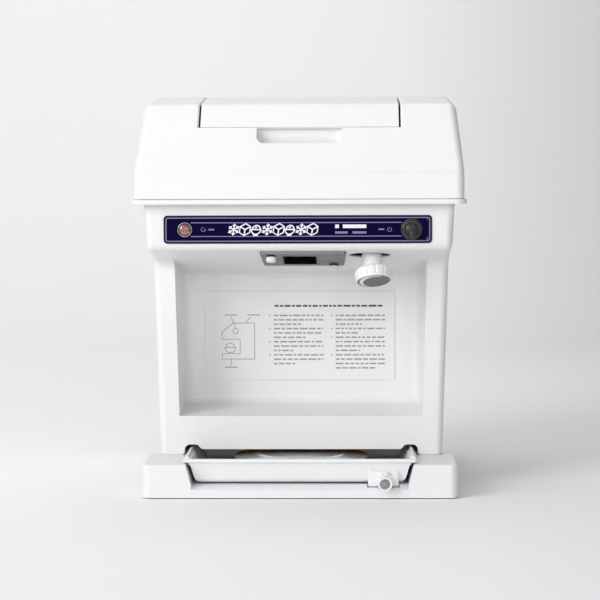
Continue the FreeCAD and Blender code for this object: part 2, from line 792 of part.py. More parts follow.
def make_body():
    """The body: head box, two posts, the niche and the rear casing, as one thin shell."""
    none = size_of(0)
    outer = casing("BodyOuter", none)
    front = cut("BodyNiched", outer, niche("Niche", none))
    room = cut("BodyRoom", casing("BodyInner", S.wall), niche("NicheWall", S.wall))
    shell = cut("BodyHollow", front, room)
    y = S.body_front_y
    tools = [
        prism("SillCut", "XZ", sill_outline(), y - 5, y + 12),
        seam_groove(),
        box("BottomOpening", (-S.channel_half - 6, S.channel_half + 6), (y + 8, S.body_rear_y - 14),
            (S.base_top_z - 1, S.base_top_z + S.wall + 1)),
        box("RearOpening", (-S.rear_opening_half, S.rear_opening_half),
            (S.body_rear_y - 9, S.body_rear_y + 9), (S.rear_opening_low_z, S.rear_opening_high_z)),
        rod("ToggleHole", 6.2, 12, (S.toggle_x, S.head_front_y - 4, S.control_z), (0, 1, 0)),
        rod("ResetHole", 5.2, 12, (S.reset_x, S.head_front_y - 4, S.control_z), (0, 1, 0)),
        knob_opening(),
        chute_tool("BodyChuteHole", 0.4),
    ]
    for i, place_of in enumerate(outlet_screw_places()):
        tools.append(rod(f"OutletScrewHole{i}", 2.1, 20, place_of, tuple(-part for part in underside_normal)))
    for i, (x, y_of) in enumerate(base_screw_places()):
        tools.append(rod(f"BodyScrewHole{i}", 2.2, 12, (x, y_of, S.base_top_z - 4)))
    for i, (x, z) in enumerate(rear_screw_places()):
        tools.append(rod(f"RearScrewHole{i}", 1.9, 12, (x, S.body_rear_y - 8, z), (0, 1, 0)))
    for i, (centre, direction) in enumerate(cover_screw_places()):
        back = tuple(-part for part in direction)
        tools.append(rod(f"BodyCoverHole{i}", 2.1, 20, centre, back))
    node(cut("BodyPart", shell, *tools), "body_shell")


def gland_x():
    """Place of the cord gland across the rear cover."""
    return -S.rear_opening_half + 22


def gland_z():
    """Height of the cord gland."""
    return S.rear_opening_low_z + 16


def rear_screw_places():
    """Places of the rear cover's six screws, as (x, z)."""
    xs = (-S.rear_opening_half - 6, S.rear_opening_half + 6)
    low, high = S.rear_opening_low_z, S.rear_opening_high_z
    zs = (low + 6, (low + high) / 2, high - 6)
    return [(x, z) for x in xs for z in zs]


def make_covers():
    """The rear cover with its vents and screws, and the panel over the pan."""
    half = S.rear_opening_half + 12
    cover = prism("RearPlate", "XZ", rectangle(
        -half, half, S.rear_opening_low_z - 3, S.rear_opening_high_z + 6, 8), S.body_rear_y, S.body_rear_y + 2)
    slots = []
    for row in range(7):
        z = S.rear_opening_low_z + 32 + 11 * row
        for side in (-1, 1):
            middle = half * 0.42 * side
            slots.append(prism(f"Vent{row}_{side + 1}", "XZ", rectangle(
                middle - 36, middle + 36, z, z + 3.4, 1.6), S.body_rear_y - 2, S.body_rear_y + 4))
    holes = [
        rod(f"CoverPlateHole{i}", 1.9, 6, (x, S.body_rear_y - 2, z), (0, 1, 0))
        for i, (x, z) in enumerate(rear_screw_places())
    ]
    gland_hole = rod("GlandHole", 7.8, 9, (gland_x(), S.body_rear_y - 3, gland_z()), (0, 1, 0))
    node(cut("RearCoverPart", cover, *slots, *holes, gland_hole), "rear_cover")
    seats = [(x, S.body_rear_y + 2, z) for x, z in rear_screw_places()]
    screws("rear_cover_screws", seats, 3.6, 2.4, 1.9, 8.0, (0, 1, 0))
    panel = box(
        "BottomPanel", (-S.body_half_bottom + 6, S.body_half_bottom - 6),
        (S.body_front_y + 5, S.body_rear_y - 5), (S.arch_top_z + 4, S.arch_top_z + 6.5))
    node(panel, "bottom_cover")
    gland = turned("GlandTurn", [
        (4, -12), (9.5, -12), (9.5, -2.2), (7.8, -2.2), (7.8, 0), (12, 0), (12, 3, 0.8), (8.5, 6), (7, 15, 1),
        (4, 15),
    ], (gland_x(), S.body_rear_y + 2, gland_z()), (0, 1, 0))
    node(gland, "cord_gland")


# ---------------------------------------------------------------- head cover and lid

def cover_section():
    """The head cover's outline seen from the front."""
    lean_z = S.cover_knee_z + 4
    return [
        (-S.cover_half, S.cover_bottom_z), (S.cover_half, S.cover_bottom_z), (S.cover_half, lean_z, 40),
        (S.cover_half - 8, S.cover_ridge_z + 12), (-S.cover_half + 8, S.cover_ridge_z + 12),
        (-S.cover_half, lean_z, 40),
    ]


def cover_profile():
    """The head cover's outline seen from the side."""
    return [
        (S.cover_front_y, S.cover_bottom_z), (S.cover_rear_y, S.cover_bottom_z),
        (S.cover_rear_y, S.cover_rear_z, 20), (S.cover_ridge_y, S.cover_ridge_z, 300),
        (S.cover_edge_y, S.cover_edge_z, 12), (S.cover_front_y + 1.6, S.cover_knee_z, 16),
    ]


def cover_form(name, amount):
    """The head cover's outer form, or the same form drawn in."""
    section, profile = cover_section(), cover_profile()
    if amount.value:
        section = inset(section, amount, (0,))
        profile = inset(profile, amount, (0,))
    solid = common(
        name + "Form", prism(name + "Section", "XZ", section, S.cover_front_y - 9, S.cover_rear_y + 9),
        prism(name + "Profile", "YZ", profile, -S.cover_half - 9, S.cover_half + 9))
    soft = max(9 - amount.value, 2.0)
    low = S.cover_bottom_z - amount
    return rounded(name + "Soft", solid, soft, lambda edge: on_side(edge, 145) and not level_edge(edge, low))


def slope_y(z):
    """Place along Y of the cover's front slope at a height."""
    run = (S.cover_edge_y - S.cover_front_y - 1.6) / (S.cover_edge_z - S.cover_knee_z)
    return S.cover_front_y + 1.6 + (size_of(z) - S.cover_knee_z) * run


def slope_direction():
    """Unit vector up the front slope, in Y and Z."""
    run = (S.cover_edge_y - S.cover_front_y - 1.6).value
    rise = (S.cover_edge_z - S.cover_knee_z).value
    length = math.hypot(run, rise)
    return run / length, rise / length


def lid_region(name, grow, side_grow, rear_grow):
    """The block of space that the lid fills, grown by the gaps of its opening."""
    along_y, along_z = slope_direction()
    front_y = slope_y(S.lid_front_z)
    low_y = front_y + 30 * along_z - grow * along_y
    low_z = S.lid_front_z - 30 * along_y - grow * along_z
    high_y = front_y - 20 * along_z - grow * along_y
    high_z = S.lid_front_z + 20 * along_y - grow * along_z
    rear_y = S.lid_rear_y + rear_grow
    return prism(name, "YZ", [
        (low_y, low_z), (rear_y, low_z), (rear_y, S.cover_ridge_z + 20), (high_y, S.cover_ridge_z + 20),
        (high_y, high_z),
    ], -S.lid_half - side_grow, S.lid_half + side_grow)


def scoop_back_y():
    """Place of the finger scoop's upright back wall, a little behind the lid's front edge."""
    return slope_y(S.lid_front_z) + S.scoop_back


def scoop_tool(name, amount):
    """The finger scoop under the lid's front edge, or the block of its moulded wall."""
    amount = size_of(amount)
    half = S.scoop_half + amount
    low_z = S.scoop_low_z - amount
    corner = S.scoop_corner + amount
    back_y = scoop_back_y() + amount
    block = prism(name + "Block", "XZ", [
        (-half, low_z, corner), (half, low_z, corner), (half, S.cover_edge_z), (-half, S.cover_edge_z),
    ], S.cover_front_y, back_y)

    def wanted(edge):
        lowest = min(vertex.Z for vertex in edge.Vertexes)
        on_back = all(abs(vertex.Y - back_y.value) < 0.01 for vertex in edge.Vertexes)
        return on_back and lowest < S.cover_edge_z.value - 1
    return rounded(name, block, corner - 0.5, wanted)


def cover_screw_places():
    """Seats of the six head cover screws: two on each side and two at the rear."""
    z = S.cover_bottom_z + 6
    side_x = S.head_half_top + 3.6
    places = []
    for side in (-1, 1):
        for y in (-100, 110):
            places.append(((side_x * side, size_of(y), z), (side, 0, 0)))
        places.append(((size_of(110 * side), S.body_rear_y + 3.6, z), (0, 1, 0)))
    return places


def make_head_cover():
    """The removable head cover: a thin hood with the lid opening and the finger scoop."""
    outer = cover_form("CoverOuter", size_of(0))
    bosses = []
    wells = []
    for i, (centre, direction) in enumerate(cover_screw_places()):
        back = tuple(-part for part in direction)
        seat = FreeCAD.Vector(*[size_of(value).value for value in centre])
        start = seat - FreeCAD.Vector(*direction) * 2.4
        bosses.append(rod(f"CoverBoss{i}", 8.2, 12, tuple(start), direction))
        wells.append(rod(f"CoverWell{i}", 5.6, 20, centre, direction))
        wells.append(rod(f"CoverHole{i}", 2.3, 9, tuple(seat + FreeCAD.Vector(*direction)), back))
    lugs = []
    for i, side in enumerate((-1, 1)):
        low, high = (S.lid_half + S.lid_side_gap, S.lid_half + S.lid_side_gap + 8)
        span = (low, high) if side > 0 else (-high, -low)
        lugs.append(box(f"HingeLug{i}", span, (S.hinge_y - 6, S.hinge_y + 6), (S.hinge_z - 6, S.hinge_z + 4)))
    reach = S.lid_half + 20
    lug_holes = [rod("HingeLugHole", S.hinge_radius, reach * 2, (-reach, S.hinge_y, S.hinge_z), (1, 0, 0))]
    room = cut("CoverRoom", cover_form("CoverInner", S.wall), fuse("CoverKeep", *bosses, *lugs))
    opening = lid_region("LidOpening", S.lid_gap, S.lid_side_gap, 3.0)
    scoop = scoop_tool("ScoopCut", 0)
    ragged = cut("CoverCut", cut("CoverShell", outer, room), opening, scoop, *wells, *lug_holes)
    side_x = (S.lid_half + S.lid_side_gap).value

    def beside_lid(edge):
        middle = edge.valueAt((edge.FirstParameter + edge.LastParameter) / 2)
        on_skin = outer.Shape.Shells[0].distToShape(Part.Vertex(middle))[0] < 0.01
        return on_skin and all(abs(abs(vertex.X) - side_x) < 0.01 for vertex in edge.Vertexes)
    bevelled = rounded("CoverBevelled", ragged, S.lid_bevel - 0.4, beside_lid)
    under_lid = cut("UnderLid", opening, cover_form("UnderLidForm", S.lid_edge_thick + 0.8))
    block = common("ScoopKeep", scoop_tool("ScoopBlock", S.wall), outer)
    node(fuse("CoverPart", bevelled, cut("ScoopWall", block, scoop, under_lid)), "head_cover")


def make_flange():
    """The frame under the head cover, with the narrow groove between them."""
    low_y, high_y = S.cover_front_y - S.flange_overhang, S.cover_rear_y + S.flange_overhang
    ring = prism("FlangeRing", "XY", rectangle(
        -S.flange_half, S.flange_half, low_y, high_y, 12), S.flange_bottom_z, S.flange_top_z)
    soft = rounded("FlangeSoft", ring, 1.4, lambda edge: level_edge(edge, S.flange_bottom_z))
    step = prism("FlangeStep", "XY", rectangle(
        -S.cover_half + 1.6, S.cover_half - 1.6, S.cover_front_y + 1.6, S.cover_rear_y - 1.6, 8),
        S.flange_top_z - 1, S.cover_bottom_z)
    hole = prism("FlangeHole", "XY", rectangle(
        -S.head_half_top - 1.2, S.head_half_top + 1.2, S.head_front_y - 0.5, S.body_rear_y + 0.5, 6),
        S.flange_bottom_z - 5, S.cover_bottom_z + 5)
    node(cut("FlangePart", fuse("FlangeWhole", soft, step), hole), "cover_flange")


def make_lid():
    """The hinged lid: it carries on the cover's surface, with a skirt all round underneath."""
    block = common("LidBlock", cover_form("LidOuter", size_of(0)), lid_region("LidRegion", size_of(0), 0, 0))
    slab = cut("LidSlab", block, cover_form("LidDeep", S.lid_depth))
    room = common(
        "LidRoom", cover_form("LidInner", S.wall), lid_region("LidRoomRegion", size_of(-2.5), -2.5, -2.5))
    notch_half = S.scoop_half + S.wall + 1.2
    notch = common("LidNotch", cover_form("LidNotchForm", S.lid_edge_thick), box(
        "LidNotchBox", (-notch_half, notch_half), (S.cover_front_y, scoop_back_y() + S.wall + 1.2),
        (S.scoop_low_z, S.cover_edge_z + 9)))
    shell = cut("LidShell", slab, room, notch)
    reach = S.lid_half + 4
    holes = rod("LidPinHole", S.hinge_radius + 0.05, reach * 2, (-reach, S.hinge_y, S.hinge_z), (1, 0, 0))
    node(cut("LidPart", shell, holes), "lid")
    pins = []
    for i, side in enumerate((-1, 1)):
        start = S.lid_half - 4.0
        pins.append(rod(f"HingePin{i}", S.hinge_radius, 12.0, (start * side, S.hinge_y, S.hinge_z), (side, 0, 0)))
    node(group("HingePins", *pins), "lid_hinge_pins")
    seats = [centre for centre, _ in cover_screw_places()]
    outline = [(0, -12), (2.1, -12), (2.1, 0), (5.2, 0), (5.2, 3, 1.2), (0, 3)]
    heads = [
        turned(f"CoverScrew{i}", outline, seats[i], direction)
        for i, (_, direction) in enumerate(cover_screw_places())
    ]
    node(group("CoverScrews", *heads), "head_cover_screws")


# ---------------------------------------------------------------- label, plate and controls

def make_label():
    """The label panel across the head's front, with holes for the controls."""
    half_height = S.label_height / 2
    panel = prism("LabelPanel", "XZ", rectangle(
        S.label_middle_x - S.label_half, S.label_middle_x + S.label_half,
        S.control_z - half_height, S.control_z + half_height, 4),
        S.head_front_y - S.label_thick, S.head_front_y)
    pocket(panel, "XZ", (S.toggle_x, S.control_z, 6.2), S.head_front_y - 2, S.head_front_y + 2)
    pocket(panel, "XZ", (S.reset_x, S.control_z, 5.2), S.head_front_y - 2, S.head_front_y + 2)
    node(panel, "label_panel")
    sign = prism("InstructionPlate", "XZ", rectangle(
        S.sign_left, S.sign_right, S.sign_low_z, S.sign_high_z, 2.5), S.niche_back_y - S.sign_thick, S.niche_back_y)
    node(sign, "instruction_plate")


def make_toggle():
    """The power toggle: body behind the panel, round boot ring in front, and a booted lever."""
    face = S.head_front_y - S.label_thick
    ring = turned("ToggleRing", [
        (7.0, 0), (S.toggle_ring_radius, 0), (S.toggle_ring_radius, 2.6, 1.4), (9.4, 4.6, 0.8), (7.0, 4.6),
    ], (S.toggle_x, face, S.control_z), (0, -1, 0))
    node(ring, "toggle_boot_ring")
    block = box("ToggleBlock", (S.toggle_x - 14, S.toggle_x + 14), (S.head_front_y + S.wall, S.head_front_y + 32),
                (S.control_z - 8.5, S.control_z + 9))
    neck = turned("ToggleNeck", ring_outline(5.0, 6.0, 0, 4.3), (
        S.toggle_x, S.head_front_y + S.wall + 0.5, S.control_z), (0, -1, 0))
    well = rod("ToggleWell", 5.0, 9, (S.toggle_x, S.head_front_y + 1, S.control_z), (0, 1, 0))
    node(fuse("ToggleBody", cut("ToggleBlockCut", block, well), neck), "toggle_switch_body")
    lean = math.radians(13)
    stem = turned("ToggleStem", [
        (0, -1.5), (2.8, -1.5), (2.8, 5.2), (4.6, 7.0, 0.8), (4.4, 9), (3.0, 12), (2.8, 16), (3.7, 20.5, 2.3),
        (0, 22.4),
    ], (S.toggle_x, face + 4.5, S.control_z), (0, -math.cos(lean), -math.sin(lean)))
    pivot = rod("TogglePivot", 2.0, 8, (S.toggle_x - 4, face + 4.5, S.control_z), (1, 0, 0))
    node(fuse("ToggleLever", stem, pivot), "toggle_lever")


def make_reset():
    """The reset button: breaker behind the panel, ring nut, red plunger and clear dome."""
    face = S.head_front_y - S.label_thick
    ring = turned("ResetRing", [
        (6.0, 0), (S.reset_ring_radius, 0), (S.reset_ring_radius, 2.2, 0.8), (6.0, 2.2),
    ], (S.reset_x, face, S.control_z), (0, -1, 0))
    node(ring, "reset_ring")
    block = box("BreakerBlock", (S.reset_x - 9, S.reset_x + 9), (S.head_front_y + S.wall, S.head_front_y + 36),
                (S.control_z - 8.5, S.control_z + 9))
    neck = turned("BreakerNeck", ring_outline(3.9, 5.0, 0, 4.2), (
        S.reset_x, S.head_front_y + S.wall + 0.4, S.control_z), (0, -1, 0))
    well = rod("BreakerWell", 3.9, 12, (S.reset_x, S.head_front_y + 1, S.control_z), (0, 1, 0))
    node(fuse("BreakerBody", cut("BreakerBlockCut", block, well), neck), "reset_breaker")
    button = turned("ResetButton", [(0, -9), (3.7, -9), (3.7, 2.4, 1.2), (0, 2.4)], (
        S.reset_x, face, S.control_z), (0, -1, 0))
    node(button, "reset_button")
    dome = turned("ResetDome", [
        (0, 2.4), (3.7, 2.4), (3.7, 1.9), (5.7, 1.9), (5.7, 3.4, 0.8), (4.4, 5.2, 2), (0, 5.4),
    ], (S.reset_x, face, S.control_z), (0, -1, 0))
    node(dome, "reset_dome")


# ---------------------------------------------------------------- ice outlet and blade adjustment

def chute_tool(name, grow):
    """The rectangular way down through the head's underside."""
    angle = math.radians(SIZES["underside_angle"])
    low_y = S.head_front_y + S.chute_front * math.cos(angle) - grow
    high_y = S.head_front_y + S.chute_rear * math.cos(angle) + grow
    return box(name, (-S.chute_half - grow, S.chute_half + grow), (low_y, high_y), (
        S.head_bottom_z - 35, S.deck_z + S.deck_thick + 5))


def outlet_screw_places():
    """Seats under the outlet's plate of its two thumb screws."""
    return [on_underside(-30, 20.5, S.outlet_thick), on_underside(35.5, 69.5, S.outlet_thick)]


def make_outlet():
    """The ice outlet: a plate on the slanted underside, and a square duct up into the head."""
    taper = 2.4
    plate = prism("OutletPlate", "XY", [
        (-39.0, S.outlet_rear * -1, 3), (46.5, S.outlet_rear * -1, 3), (46.5 + taper, -S.outlet_front, 3),
        (-39.0 - taper, -S.outlet_front, 3),
    ], S.outlet_seat, S.outlet_thick)
    angle = SIZES["underside_angle"]
    plate.Placement = FreeCAD.Placement(
        FreeCAD.Vector(0, SIZES["head_front_y"], SIZES["head_bottom_z"]),
        FreeCAD.Rotation(FreeCAD.Vector(1, 0, 0), 180 - angle))
    bore = chute_tool("DuctBore", -1.7)
    duct_top = box("DuctTop", (-50, 50), (S.head_front_y, S.body_front_y + 20), (
        S.deck_z + S.deck_thick, S.deck_z + 40))
    flush = S.outlet_thick / math.cos(math.radians(angle))
    front_y, rear_y = S.head_front_y, S.body_front_y + 20
    below = prism("DuctBelow", "YZ", [
        (front_y, S.head_bottom_z - 60), (rear_y, S.head_bottom_z - 60),
        (rear_y, underside_z(rear_y) - flush), (front_y, S.head_bottom_z - flush),
    ], -50, 50)
    block = cut("DuctTrimmed", chute_tool("DuctBlock", -0.2), duct_top, below)
    node(cut("DuctPart", block, bore), "outlet_duct")
    drill = [
        rod(f"OutletDrill{i}", 2.1, 12, centre, tuple(-part for part in underside_normal))
        for i, centre in enumerate(outlet_screw_places())
    ]
    node(cut("OutletPart", plate, bore, block, *drill), "ice_outlet")
    screws("outlet_screws", outlet_screw_places(), 5.4, 6.4, 2.1, 11.0, underside_normal)


knob_axis = FreeCAD.Vector(-0.07, 0.42, 0.905).normalize()


def on_knob_axis(along):
    """A point on the adjusting screw's axis, measured up from the knob's face."""
    step = size_of(along)
    return (
        S.knob_x + step * knob_axis.x, S.knob_y + step * knob_axis.y, S.knob_z + step * knob_axis.z)


def oval_tool(name, grow, start, length):
    """An oval column square to the underside, from a height above its skin inwards."""
    oval = doc.addObject("Part::Ellipse", name + "Oval")
    bind(oval, "MajorRadius", S.knob_oval_major + grow)
    bind(oval, "MinorRadius", S.knob_oval_minor + grow)
    centre = [size_of(value).value for value in on_underside(S.knob_oval_x, S.knob_oval_along, -start)]
    lean = FreeCAD.Rotation(FreeCAD.Vector(1, 0, 0), -SIZES["underside_angle"])
    oval.Placement = FreeCAD.Placement(FreeCAD.Vector(*centre), lean)
    face = doc.addObject("Part::Face", name + "Face")
    face.Sources = [oval]
    column = doc.addObject("Part::Extrusion", name)
    column.Base = face
    column.DirMode = "Custom"
    column.Dir = FreeCAD.Vector(*[-part for part in underside_normal])
    column.LengthFwd = length
    column.Solid = True
    return column


def knob_opening():
    """The oval opening that the knob's collar comes through, with its wall thinned to a lip inside."""
    through = oval_tool("KnobOpening", 0, -4, 14)
    relief = oval_tool("KnobOpeningRelief", 4, S.knob_oval_lip.value, 10)
    return fuse("KnobOpeningWhole", through, relief)


def make_knob():
    """The blade adjusting knob with its face cap, its collar and the screw that it turns."""
    axis = tuple(knob_axis)
    grip = turned("KnobGrip", [
        (S.screw_radius, 1.2), (S.knob_face_radius, 1.2), (S.knob_face_radius, 0, 0.6), (S.knob_radius, 0, 1.2),
        (S.knob_radius + 0.8, S.knob_length - 3, 1.5), (S.knob_radius - 3.5, S.knob_length, 1.5),
        (S.screw_radius, S.knob_length),
    ], on_knob_axis(0), axis)
    doc.recompute()
    flutes = []
    count = 12
    side = FreeCAD.Vector(1, 0, 0).cross(knob_axis).normalize()
    up = knob_axis.cross(side).normalize()
    for i in range(count):
        turn_by = 2 * math.pi * i / count
        reach = (side * math.cos(turn_by) + up * math.sin(turn_by)) * (S.knob_radius.value + 2.3)
        centre = FreeCAD.Vector(*[size_of(value).value for value in on_knob_axis(-2)]) + reach
        flutes.append(rod(f"KnobFlute{i}", 3.1, S.knob_length + 6, tuple(centre), axis))
    node(cut("KnobPart", grip, *flutes), "adjusting_knob")
    cap = turned("KnobCap", [
        (0, 1.2), (S.knob_face_radius - 0.2, 1.2), (S.knob_face_radius - 0.2, 0.3, 0.4), (0, 0.3),
    ], on_knob_axis(0), axis)
    node(cap, "knob_cap")
    collar = turned("KnobCollar", [
        (S.screw_radius + 0.06, S.knob_length + 0.5), (S.collar_radius, S.knob_length + 0.5, 0.8),
        (S.collar_radius, 50), (7, 50), (7, 54), (S.screw_radius + 0.06, 54),
    ], on_knob_axis(0), axis)
    node(collar, "knob_collar")
    node(rod("ScrewPart", S.screw_radius, 88, on_knob_axis(1.2), axis), "adjusting_screw")


BLADE_TURN = FreeCAD.Rotation(FreeCAD.Vector(0, 0, 1), -21)
BLADE_EDGE_X = 10.0
BLADE_EDGE_PROUD = 0.3


def blade_frame(name, along, across, height):
    """A box in the blade's own frame: along it from the edge, across it outwards, and up."""
    block = doc.addObject("Part::Box", name)
    for prop, (low, high) in zip(("Length", "Width", "Height"), (along, across, height)):
        bind(block, prop, size_of(high) - low)
    block.Placement = FreeCAD.Placement(blade_point(along[0], across[0], size_of(height[0]).value), BLADE_TURN)
    return block


def make_blade():
    """The blade, its fitting plate that slides on the adjusting screw, and its two screws."""
    low, high = S.deck_z + S.deck_thick + 14, S.drum_top_z - 12
    steel = blade_frame("BladeBar", (0, 34), (-2.2, -0.2), (low + 2, high - 2))
    bevel = blade_frame("BladeBevelTool", (-8, 6), (-9, -2.2), (low - 5, high + 5))
    holes = [blade_rod(f"BladeHole{i}", z, 2.0) for i, z in enumerate(blade_screw_heights())]
    edge = rod("BladeEdgeTool", 5.2, 90, edge_tool_place(), (0, 0, 1))
    node(cut("BladePart", steel, bevel, edge, *holes), "blade")
    carrier = blade_frame("CarrierBar", (17, 52), (-7.4, -2.2), (low, high))
    arm = blade_frame("CarrierArm", (42, 66), (-9.5, -2.2), (low + 4, low + 22))
    boss = rod("CarrierBoss", 7.5, 20, on_knob_axis(64), tuple(knob_axis))
    bore = rod("CarrierBore", S.screw_radius + 0.05, 60, on_knob_axis(50), tuple(knob_axis))
    plate_holes = [blade_rod(f"CarrierHole{i}", z, 2.0) for i, z in enumerate(blade_screw_heights())]
    whole = fuse("CarrierWhole", carrier, arm, boss)
    node(cut("CarrierPart", whole, bore, *plate_holes), "blade_fitting_plate")
    out = blade_outward()
    seats = []
    for z in blade_screw_heights():
        seat = blade_point(26, -7.4, z)
        seats.append(tuple(seat))
    screws("blade_screws", seats, 4.0, 2.6, 2.0, 7.0, tuple(out))


def blade_outward():
    """The direction that faces away from the drum, square to the blade."""
    return BLADE_TURN.multVec(FreeCAD.Vector(0, -1, 0))


def blade_point(along, across, z):
    """A point in the blade's own frame, whose origin is the cutting edge just inside the drum's wall."""
    wall_y = SIZES["drum_y"] - math.sqrt(SIZES["drum_inner"] ** 2 - BLADE_EDGE_X ** 2)
    edge = FreeCAD.Vector(BLADE_EDGE_X, wall_y + BLADE_EDGE_PROUD, 0)
    return edge + BLADE_TURN.multVec(FreeCAD.Vector(along, across, z))


def blade_screw_heights():
    """Heights of the blade's two screws."""
    middle = SIZES["deck_z"] + 40
    return (middle - 14, middle + 14)


def blade_rod(name, z, radius):
    """A drill through the blade at one screw height."""
    return rod(name, radius, 20, tuple(blade_point(26, 5, z)), tuple(blade_outward()))


def edge_tool_place():
    """Start of the round tool that hollows the blade's cutting edge."""
    point = blade_point(-1.2, -6.3, SIZES["deck_z"] - 5)
    return tuple(point)


# ---------------------------------------------------------------- drum, wing and drive

def make_deck():
    """The steel deck that carries the drum, the bearing housing and the motor."""
    deck = prism("DeckPlate", "XY", rectangle(-148, 148, S.head_front_y + 14, S.motor_y + 68, 12),
                 S.deck_z, S.deck_z + S.deck_thick)
    low, high = S.deck_z - 5, S.deck_z + 20
    pocket(deck, "XY", (0, S.drum_y, 20.0), low, high)
    holes = [chute_tool("DeckChute", 0.0), rod("DeckCollarHole", S.collar_radius, 30, on_knob_axis(35), tuple(
        knob_axis))]
    for i, (x, y) in enumerate(spacer_places()):
        holes.append(rod(f"DeckSpacerHole{i}", 3.0, 20, (x, y, S.deck_z - 5)))
    for i, (x, y) in enumerate(drum_lugs()):
        holes.append(rod(f"DeckLugHole{i}", 2.2, 20, (x, y, S.deck_z - 5)))
    node(cut("DeckPart", deck, *holes), "drum_deck")


def drum_lugs():
    """Centres of the shaving case's three screw lugs."""
    reach = S.drum_radius + 5
    angles = [math.radians(degrees) for degrees in (90, 210, 330)]
    return [(reach * math.cos(angle), S.drum_y + reach * math.sin(angle)) for angle in angles]


def make_drum():
    """The shaving case: a drum with three lugs and the upright slot that the blade cuts through."""
    floor = S.deck_z + S.deck_thick
    drum = turned("DrumTurn", [
        (21.5, floor + 4.4), (S.drum_inner - 3, floor + 4.4), (S.drum_inner - 3, floor), (S.drum_radius, floor),
        (S.drum_radius, S.drum_top_z), (S.drum_inner, S.drum_top_z), (S.drum_inner, floor + 8.4),
        (21.5, floor + 8.4),
    ], (0, S.drum_y, 0))
    lugs = []
    holes = []
    for i, (x, y) in enumerate(drum_lugs()):
        lugs.append(rod(f"DrumLug{i}", 7, 6, (x, y, floor)))
        holes.append(rod(f"DrumLugHole{i}", 2.2, 9, (x, y, floor - 1)))
    inside = rod("DrumInside", S.drum_inner - 3, 5, (0, S.drum_y, floor - 0.5))
    slot = box("DrumSlot", (7.5, 25), (S.drum_y - S.drum_radius - 2, S.drum_y - S.drum_inner + 12), (
        floor + 12, S.drum_top_z - 10))
    node(cut("DrumPart", fuse("DrumWhole", drum, *lugs), *holes, inside, slot), "shaving_case")
    screws("shaving_case_screws", [(x, y, floor + 6) for x, y in drum_lugs()], 4.4, 3.0, 2.2, 13.0, (0, 0, 1))


def make_bearings():
    """The housing on the deck with its two ball bearings and the shaft seal."""
    base = S.deck_z - 5
    top = S.deck_z + 24
    middle = (0, S.drum_y, 0)
    housing = turned("HousingTurn", [
        (16, base), (20, base), (20, S.deck_z + S.deck_thick), (32, S.deck_z + S.deck_thick),
        (32, S.deck_z + S.deck_thick + 4), (20, S.deck_z + S.deck_thick + 4), (20, top), (16, top),
    ], middle)
    node(housing, "bearing_housing")
    node(turned("LowBearing", ring_outline(S.shaft_radius, 16, base, base + 8), middle), "lower_bearing")
    node(turned("HighBearing", ring_outline(S.shaft_radius, 16, top - 11, top - 3), middle), "upper_bearing")
    node(turned("SealTurn", ring_outline(S.shaft_radius + 0.05, 16, top - 2.8, top), middle), "shaft_seal")


def make_wing():
    """The rotary wing that pushes the ice round, its shaft and its big fastening nut."""
    seat = S.deck_z + 26
    middle = (0, S.drum_y, 0)
    shaft = turned("ShaftTurn", [
        (0, S.pulley_z - 4), (S.shaft_radius - 0.06, S.pulley_z - 4, 0.8), (S.shaft_radius - 0.06, seat),
        (6, seat), (6, seat + 34, 0.8), (0, seat + 34),
    ], middle)
    node(shaft, "main_shaft")
    hub = turned("WingHub", [
        (6, seat), (24, seat), (24, seat + 6, 2), (13, seat + 18, 2), (6, seat + 18),
    ], middle)
    vanes = []
    low = S.deck_z + S.deck_thick + 9.6
    for i in range(3):
        vane = prism(f"WingVane{i}", "XZ", [
            (22.5, low), (S.wing_radius, low), (S.wing_radius, S.drum_top_z - 8, 6), (30, S.drum_top_z - 16, 6),
            (10, seat + 12), (10, seat), (22.5, seat),
        ], -2.5, 2.5)
        vane.Placement = FreeCAD.Placement(
            FreeCAD.Vector(0, SIZES["drum_y"], 0), FreeCAD.Rotation(FreeCAD.Vector(0, 0, 1), 120 * i + 30))
        vanes.append(vane)
    whole = fuse("WingWhole", hub, *vanes)
    node(cut("WingPart", whole, rod("WingBore", 6, 60, (0, S.drum_y, seat - 5))), "rotary_wing")
    corners = [(12 * math.cos(math.radians(60 * i)), 12 * math.sin(math.radians(60 * i))) for i in range(6)]
    nut = prism("NutPrism", "XY", corners, seat + 18, seat + 29)
    pocket(nut, "XY", (0, 0, 6), seat + 17, seat + 30)
    place(nut, middle)
    node(nut, "wing_fastening_nut")
    z = S.pulley_z
    pulley = turned("PulleyTurn", groove_section(S.shaft_radius, S.pulley_radius, z, S.pulley_thick), middle)
    node(pulley, "main_pulley")


def groove_section(bore, radius, z, thick):
    """A pulley's section: a rim with a V groove for the belt."""
    return [
        (bore, z), (radius, z), (radius, z + 1.5), (radius - 5, z + 3.6), (radius - 5, z + thick - 3.6),
        (radius, z + thick - 1.5), (radius, z + thick), (bore, z + thick),
    ]


def spacer_places():
    """Middles of the motor's four spacers."""
    reach = 46
    return [(x, S.motor_y + y) for x in (-reach, reach) for y in (-reach, reach)]


